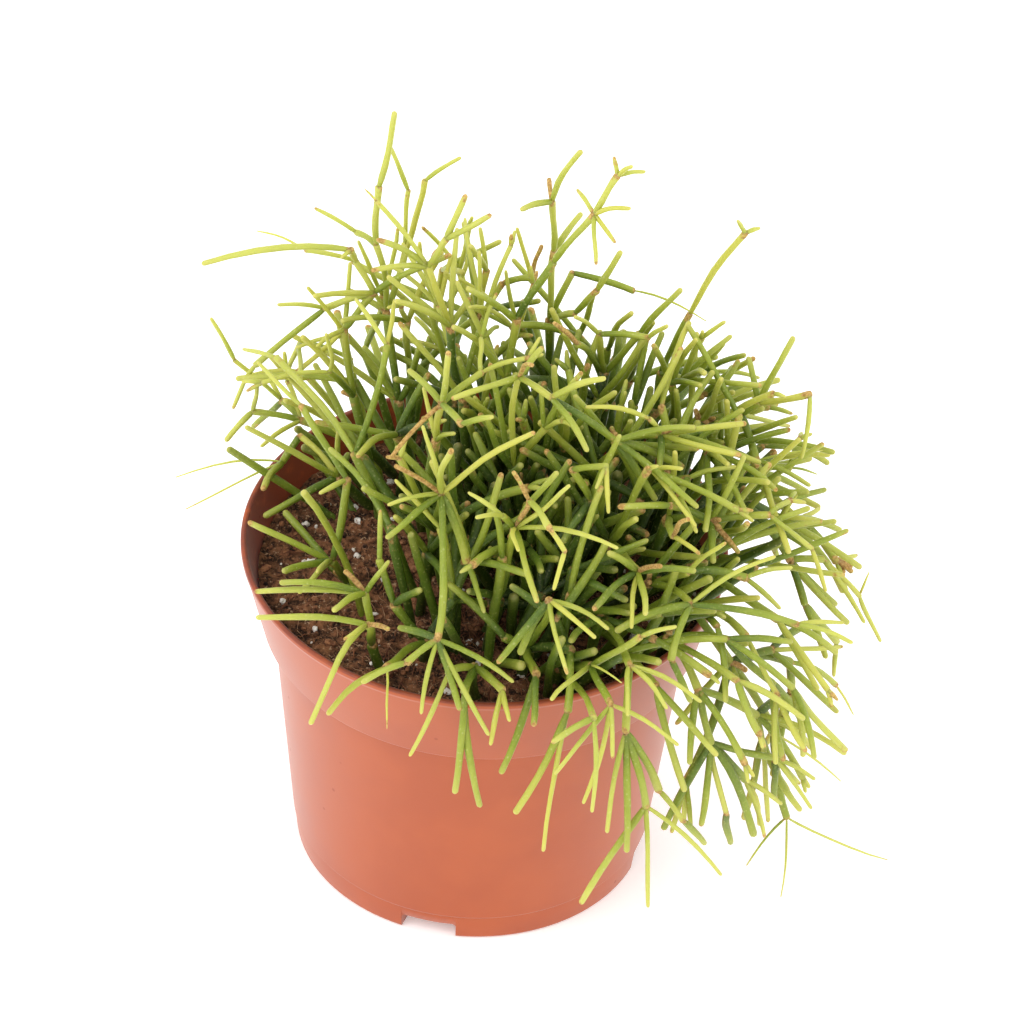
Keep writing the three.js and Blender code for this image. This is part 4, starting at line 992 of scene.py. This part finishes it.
def core_ends():
    """The joints near the middle of the mound that carry no shoots yet."""
    return [end for end in ends_near(CORE_MIDDLE, CORE_REACH) if not joints[end]["shoots"]]


def grow_thickets(thickets):
    """More shoots at the joints of each thicket."""
    for place, reach, shoots, lengths, kind, lean, share in thickets:
        grow_more(ends_near(place, reach), shoots, lengths, kind, lean, share)


low_ends = [end for foot in feet for end in grow_low_stems(foot)]
hubs, bare_ends = [], []
for stem in leading_stems:
    end = joints[stem["to"]]
    if end["shoots"] and stem["kind"] in (OLD, GREEN) and end["place"][2] > HUB_Z:
        hubs.append(stem["to"])
    if not end["shoots"] and stem["kind"] == GREEN:
        bare_ends.append(stem["to"])
low_shoots = grow_more(low_ends, 4, (22, 36), GREEN, 0.3, 1)
grow_more(low_shoots, 3, (16, 28), GREEN, 0.3, 0.6)
hub_shoots = grow_more(hubs, 6, (20, 34), GREEN, 0.8, 1)
grow_more(core_ends(), 4, (18, 30), GREEN, 0.4, 0.8)
grow_more(hub_shoots, 3, (14, 26), FRESH, 0.7, 0.6)
grow_more(core_ends(), 3, (14, 24), GREEN, 0.3, 0.3)
grow_more(bare_ends, 3, (10, 20), FRESH, 0.55, 0.5)
grow_thickets(THICKETS)

# The closest shoots, which fill the gaps between the others and keep less room to them and to the
# bare peat: stems that rise between the feet with whorls on them, then the first thicket once more.
STEM_GAP = 0.15
BARE_CORNERS = ((-14, 14, 116), (6, -32, 110))
BETWEEN_FEET = {
    "tries": 400, "middle": (18, -6), "spread": (68, 64), "leaning": (-13, 13), "height": (98, 122)
}


def grow_between_feet():
    """Old stems from places scattered over the peat, up and aside by random amounts."""
    grown = []
    (x, y), (wide, deep) = BETWEEN_FEET["middle"], BETWEEN_FEET["spread"]
    for _ in range(BETWEEN_FEET["tries"]):
        foot = [x + wide * (next(numbers) - 0.5), y + deep * (next(numbers) - 0.5), ROOT_Z]
        aside = [between(numbers, BETWEEN_FEET["leaning"]) for _ in range(2)]
        height = between(numbers, BETWEEN_FEET["height"])
        end = np.array([foot[0] + aside[0], foot[1] + aside[1], height])
        nearest = min(feet, key=lambda known: math.dist(joints[known]["place"], foot))
        add_joint(np.array(foot), None, joints[nearest]["cutting"])
        kept = try_stem(len(joints) - 1, end, OLD, numbers, True)
        if kept is None:
            joints.pop()
        else:
            grown.append(kept)
    return grown


grow_more(grow_between_feet(), 4, (12, 26), GREEN, 0.1, 0.9)
grow_thickets(THICKETS[:1])

# Buds that have just opened: short nubs on one joint in ten, anywhere in the plant, and dry ones
# round one hub in seven.
WHOLE_PLANT = 200
grow_more(ends_near(CORE_MIDDLE, WHOLE_PLANT), 2, (2.5, 6), FRESH, 0.4, 0.1)
grow_more(hubs, 7, (2.5, 5), CORKY, 0.6, 0.14)


# --- The cuttings: their stems ---
# Each stem is a round, waxy, leafless segment, narrow where it springs from the blunt end of the
# one before it. The oldest are dark green, the newest yellow green, and the joints turn corky;
# painted shade darkens the stems deep in the mound, and painted light makes the highest paler.

STEM_SIDES = 7
# Where the rings of a stem lie, from 0 at its foot to 1 at its joint, and how wide each is; then
# how far past the joint the dome's rings lie, in half widths, and how wide they are.
RING_SHARES = np.array([0, 0.05, 0.13, 0.3, 0.48, 0.66, 0.84, 1.0])
RING_WIDTHS = np.array([0.66, 0.82, 0.97, 1.0, 1.0, 1.0, 1.0, 1.0])
DOME_REACH, DOME_WIDTHS = np.array([0.5, 0.85, 1.0]), np.array([0.87, 0.53, 0.16])
HUB_REACH, HUB_WIDTH = 0.75, 1.08
STEM_SWAY, SWAY_TURN, STEM_ARCH = 0.034, 3.6, 0.055
WIDTH_WAVE, WAVE_TURN, UNLIKE_WIDTH = 0.06, 9, 0.12
# A direction that no stem runs along, and four numbers between 0 and 1 for each joint, which make
# each stem a little unlike the others. As a phase, one counts for about a full turn.
ASKEW = np.array([0.31, 0.47, 0.83])
LUCK = np.random.default_rng(7).random((2 * MOST_STEMS, 4))
PHASE = 6.3
# For each kind: how long and wide its tips are, its width beside its plain one, and its age.
KINDS = {
    OLD: {"tip_reach": 1.0, "tip_width": 0.95, "girth": 1.16, "age": 0.2},
    GREEN: {"tip_reach": 1.3, "tip_width": 0.84, "girth": 1.15, "age": 0.42},
    FRESH: {"tip_reach": 1.6, "tip_width": 0.77, "girth": 1.03, "age": 0.7},
    THIN: {"tip_reach": 2.5, "tip_width": 0.5, "girth": 0.95, "age": 0.6},
    CORKY: {"tip_reach": 0.9, "tip_width": 0.9, "girth": 1.0, "age": 0.3},
}


def of_kind(own, mark):
    """One of the kinds' values for each stem."""
    return np.array([KINDS[stem["kind"]][mark] for stem in own])


def stem_arrays(own):
    """The lines and radii of many stems at once. A line follows its curve and sways from it by a
    share of its length times a sine that is held to nothing at both ends. It arches up by half a
    sine times a share of its level reach, and ends in a dome past its joint. A radius swells from
    a narrow neck to full width in the first eighth, waves slightly, and either draws in towards a
    tip or swells again under the next whorl."""
    start, end = (np.array([joints[stem[at]]["place"] for stem in own]) for at in ("from", "to"))
    middle, radius = (np.array([stem[name] for stem in own]) for name in ("middle", "radius"))
    is_tip = np.array([not joints[stem["to"]]["shoots"] for stem in own])
    width = np.where(is_tip, of_kind(own, "tip_width"), HUB_WIDTH)
    luck = LUCK[[stem["to"] for stem in own]]
    t = RING_SHARES[None, :, None]
    line = (1 - t) ** 2 * start[:, None] + 2 * t * (1 - t) * middle[:, None] + t**2 * end[:, None]
    level = np.cross(end - start, ASKEW)
    aside = level + (luck[:, :3] - 0.5)
    held = np.sin(math.pi * RING_SHARES)
    swaying = held * np.sin(SWAY_TURN * RING_SHARES + PHASE * luck[:, 3:])
    line = line + STEM_SWAY * swaying[..., None] * aside[:, None]
    reach = np.linalg.norm((end - start)[:, :2], axis=1)
    line[..., 2] += STEM_ARCH * held * (reach * (0.5 + luck[:, 0]))[:, None]
    ahead = end - middle
    ahead /= np.linalg.norm(ahead, axis=1, keepdims=True)
    past = radius * width * np.where(is_tip, of_kind(own, "tip_reach"), HUB_REACH)
    dome = DOME_REACH * past[:, None]
    line = np.concatenate([line, end[:, None] + ahead[:, None] * dome[..., None]], 1)
    wave = 1 + WIDTH_WAVE * np.sin(PHASE * luck[:, :1] + WAVE_TURN * RING_SHARES)
    taper = 1 + (width[:, None] - 1) * RING_SHARES**3
    own_width = (radius * of_kind(own, "girth"))[:, None]
    own_width = own_width * (1 + UNLIKE_WIDTH * (luck[:, 1:2] - 0.5))
    body = own_width * RING_WIDTHS * wave * taper
    radii = np.concatenate([body, body[:, -1:] * DOME_WIDTHS], 1)
    across = np.cross(middle - start, end - middle)
    flat = np.linalg.norm(across, axis=1) < 1e-3 * np.linalg.norm(end - start, axis=1) ** 2
    return line, radii, np.where(flat[:, None], level, across), is_tip, luck


# A stem's age and painted light: it is younger the further out it ends, partly as real new growth
# and partly as painted shade that darkens the stems deep in the mound, and paler the higher it
# ends, as painted light on the top of the plant, each by a share for every millimetre. It is
# younger at its tip than at its foot.
AGE_AND_LIGHT_SHARES = {"edge": 62, "flattened": 0.6, "out": 0.011, "past_edge": 0.005, "luck": 0.3, "along": 0.4}
# Painted light: the share by which stems that end high up are made paler, as if lit from above.
PAINTED_TOP_LIGHT = {"from": 45, "over": 50, "up": 0.007}
# How strong each mark on the skin is, and the length in which it fades.
FOOT_CORK, DRY_TIP_CORK = (0.7, 1.6), (0.85, 1.8)
HUB_CORK_FADE, BUD_FADE = 2.2, 0.8
HUB_CORK_LEAST, CORKY_STEM, DRY_TIPS = 0.45, 0.75, 0.28


def stem_ages_and_light(own, luck):
    """A stem's age and painted light from 0, old and in painted shade, to 1, new and in painted light:
    its kind's age, plus shares of how far its end lies outside the mound's edge, partly real age and
    partly painted shade in the core, and above a height, painted light on the top, plus its own luck."""
    ends = np.array([joints[stem["to"]]["place"] for stem in own]) - MOUND_MIDDLE
    out = np.hypot(np.hypot(ends[:, 0], ends[:, 1]), AGE_AND_LIGHT_SHARES["flattened"] * ends[:, 2])
    outside = out - AGE_AND_LIGHT_SHARES["edge"]
    # Partly real age, partly painted shade: stems that end deep in the mound are made darker.
    age = of_kind(own, "age") + AGE_AND_LIGHT_SHARES["out"] * outside
    age += AGE_AND_LIGHT_SHARES["past_edge"] * np.clip(outside, 0, None)
    # Painted light: stems that end high up are made paler.
    age += PAINTED_TOP_LIGHT["up"] * np.clip(ends[:, 2] - PAINTED_TOP_LIGHT["from"], 0, PAINTED_TOP_LIGHT["over"])
    return np.clip(age + AGE_AND_LIGHT_SHARES["luck"] * (luck[:, 2] - 0.5), 0, 1)


def cutting_mesh(name, own):
    """One mesh of all a cutting's stems, with their marks as vertex attributes: age with painted
    light and shade, how corky the skin is, the pale bud at a tip, and the stem's own luck. A mark
    fades from its end as e to the power of minus the distance over the mark's own length."""
    line, radii, across, is_tip, luck = stem_arrays(own)
    piece = new_piece(name, *tubes(line * MM, radii * MM, STEM_SIDES, across))
    count, rings = radii.shape
    step = np.linalg.norm(np.diff(line, axis=1), axis=-1)
    along = np.concatenate([np.zeros((count, 1)), np.cumsum(step, 1)], 1)
    left = along[:, -1:] - along
    corky = np.array([stem["kind"] == CORKY for stem in own])[:, None]
    hub = np.where(is_tip[:, None], 0, np.exp(-left / HUB_CORK_FADE))
    hub = hub * (HUB_CORK_LEAST + (1 - HUB_CORK_LEAST) * luck[:, 1:2])
    dry_tip = (is_tip & (luck[:, 0] < DRY_TIPS))[:, None] * np.exp(-left / DRY_TIP_CORK[1])
    foot = FOOT_CORK[0] * np.exp(-along / FOOT_CORK[1])
    cork = np.clip(foot + hub + CORKY_STEM * corky + DRY_TIP_CORK[0] * dry_tip, 0, 1)
    bud = np.where(is_tip[:, None], np.exp(-left / BUD_FADE), 0)
    age = stem_ages_and_light(own, luck)[:, None] + AGE_AND_LIGHT_SHARES["along"] * (along / along[:, -1:] - 0.5)

    def per_vertex(values):
        around = np.repeat(values[:, :, None], STEM_SIDES, 2).reshape(count, -1)
        return np.concatenate([around, values[:, :1], values[:, -1:]], 1).ravel()

    own_luck = np.repeat(luck[:, 3:], rings, 1)
    for mark, values in (("age", age), ("cork", cork), ("bud", bud), ("luck", own_luck)):
        attribute = piece.data.attributes.new(mark, "FLOAT", "POINT")
        attribute.data.foreach_set("value", per_vertex(values).astype(np.float32))
    return piece


def cactus_skin():
    """Waxy succulent skin: dark green when old and yellow green when new, with painted shade that
    darkens the stems deep in the mound and painted light that makes the highest paler, clouded along
    the stem, dotted with pale areoles, and brown and rough where cork has formed."""
    material, wire = new_finish(
        "cactus_skin",
        {
            "IOR": 1.43,
            "Subsurface Weight": 0.35,
            "Subsurface Scale": 0.003,
            "Subsurface Radius": (0.85, 1.0, 0.3),
        },
    )
    place = place_on(wire)
    age, cork, bud, luck = (
        wire.node("Attribute", {"attribute_name": mark}, {}, 2)
        for mark in ("age", "cork", "bud", "luck")
    )
    clouds = noise(wire, place, 130)
    fine = noise(wire, place, 1400, 2)
    # Besides the real age, this value carries painted shade on stems deep in the mound and painted
    # light on the highest.
    shade = age + (clouds - 0.5) * 0.35 + (luck - 0.5) * 0.2
    stops = (
        (0.0, colour(42, 62, 12)),
        (0.3, colour(82, 104, 22)),
        (0.6, colour(138, 150, 44)),
        (1.0, colour(187, 188, 88)),
    )
    base = wire.node("ValToRGB", {"stops": stops}, {"Fac": shade})
    yellowed = luck.between(0.72, 0.94) * age.between(0.3, 0.9)
    base = (yellowed * 0.4).mixed(base, colour(194, 186, 74))
    pale = wire.node("TexVoronoi", {}, {"Vector": place, "Scale": 620, "Randomness": 1})
    dots = 1 - pale.between(0.12, 0.22)
    base = (fine.between(0.5, 0.75) * 0.16).mixed(base, colour(196, 196, 116))
    base = (dots * 0.3).mixed(base, colour(198, 198, 134))
    base = (bud * 0.4).mixed(base, colour(198, 178, 112))
    rough = (cork + 0.1 + (noise(wire, place, 420) - 0.5) * 1.6).between(0.5, 0.8)
    bark = fine.between(0.3, 0.7).mixed(colour(146, 98, 56), colour(202, 160, 102))
    base = (rough * 0.85).mixed(base, bark)
    normal = wire.node(
        "Bump", {}, {"Height": fine * 0.6 + clouds + rough, "Distance": 0.00012, "Strength": 0.5}
    )
    paint(material, base_color=base, roughness=0.42 + rough * 0.35 + clouds * 0.1, normal=normal)
    return material


skin = cactus_skin()
for index, (name, _, _) in enumerate(CUTTINGS):
    own = [stem for stem in stems if joints[stem["from"]]["cutting"] == index]
    cutting = cutting_mesh("plant_" + name, own)
    cutting.data.materials.append(skin)
    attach(cutting, "root")
    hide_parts("cutting_" + name)


# --- The stage ---
# A pale floor under a bright soft sky, one broad light over the left shoulder and a weaker one at
# the right, with the camera looking down at the pot from in front.

FLOOR_RADIUS, FLOOR_SIDES, FLOOR_Z = 6, 64, -0.0002
floor_rim = round_axis(FLOOR_RADIUS, even_turns(FLOOR_SIDES), FLOOR_Z)
floor = new_piece("floor", floor_rim, [range(FLOOR_SIDES)])
floor_finish, _ = new_finish(
    "pale_floor",
    {
        "Base Color": (0.95, 0.95, 0.95, 1),
        "Roughness": 0.6,
        "Emission Color": (1, 1, 1, 1),
        "Emission Strength": 0.28,
    },
)
floor.data.materials.append(floor_finish)

sky = bpy.data.worlds.new("bright_room")
sky.use_nodes = True
sky.node_tree.nodes["Background"].inputs["Color"].default_value = (1, 1, 1, 1)
sky.node_tree.nodes["Background"].inputs["Strength"].default_value = 1.16
bpy.context.scene.world = sky
bpy.context.scene.view_settings.view_transform = "Standard"


def soft_light(name, place, aim, size, power):
    """A square area light at a place, turned so that it faces its aim."""
    light = bpy.data.lights.new(name, "AREA")
    light.size, light.energy = size, power
    lamp = bpy.data.objects.new(name, light)
    bpy.context.scene.collection.objects.link(lamp)
    lamp.location = place
    lamp.rotation_euler = (Vector(aim) - Vector(place)).to_track_quat("-Z", "Y").to_euler()


soft_light("key_light", (-0.9, -0.7, 1.5), (0, 0, 0.1), 0.9, 10)
soft_light("fill_light", (1.2, -0.6, 0.9), (0, 0, 0.1), 1.0, 3)

CAMERA_PLACE = (0, -1.518404, 1.393724)
PITCH, YAW, ROLL = (math.radians(angle) for angle in (40.382, 0.2376, 3.137))
FOCAL_LENGTH = 286.07
forward = Vector(
    (math.sin(YAW) * math.cos(PITCH), math.cos(YAW) * math.cos(PITCH), -math.sin(PITCH))
)
level_right = forward.cross(Vector((0, 0, 1))).normalized()
level_up = level_right.cross(forward)
right = level_right * math.cos(ROLL) + level_up * math.sin(ROLL)
up = level_up * math.cos(ROLL) - level_right * math.sin(ROLL)
lens = bpy.data.cameras.new("camera")
lens.lens, lens.sensor_width = FOCAL_LENGTH, 36
lens.clip_end = 50
camera = bpy.data.objects.new("camera", lens)
bpy.context.scene.collection.objects.link(camera)
turned = Matrix((right, up, -forward)).transposed().to_4x4()
camera.matrix_world = Matrix.Translation(CAMERA_PLACE) @ turned
bpy.context.scene.camera = camera
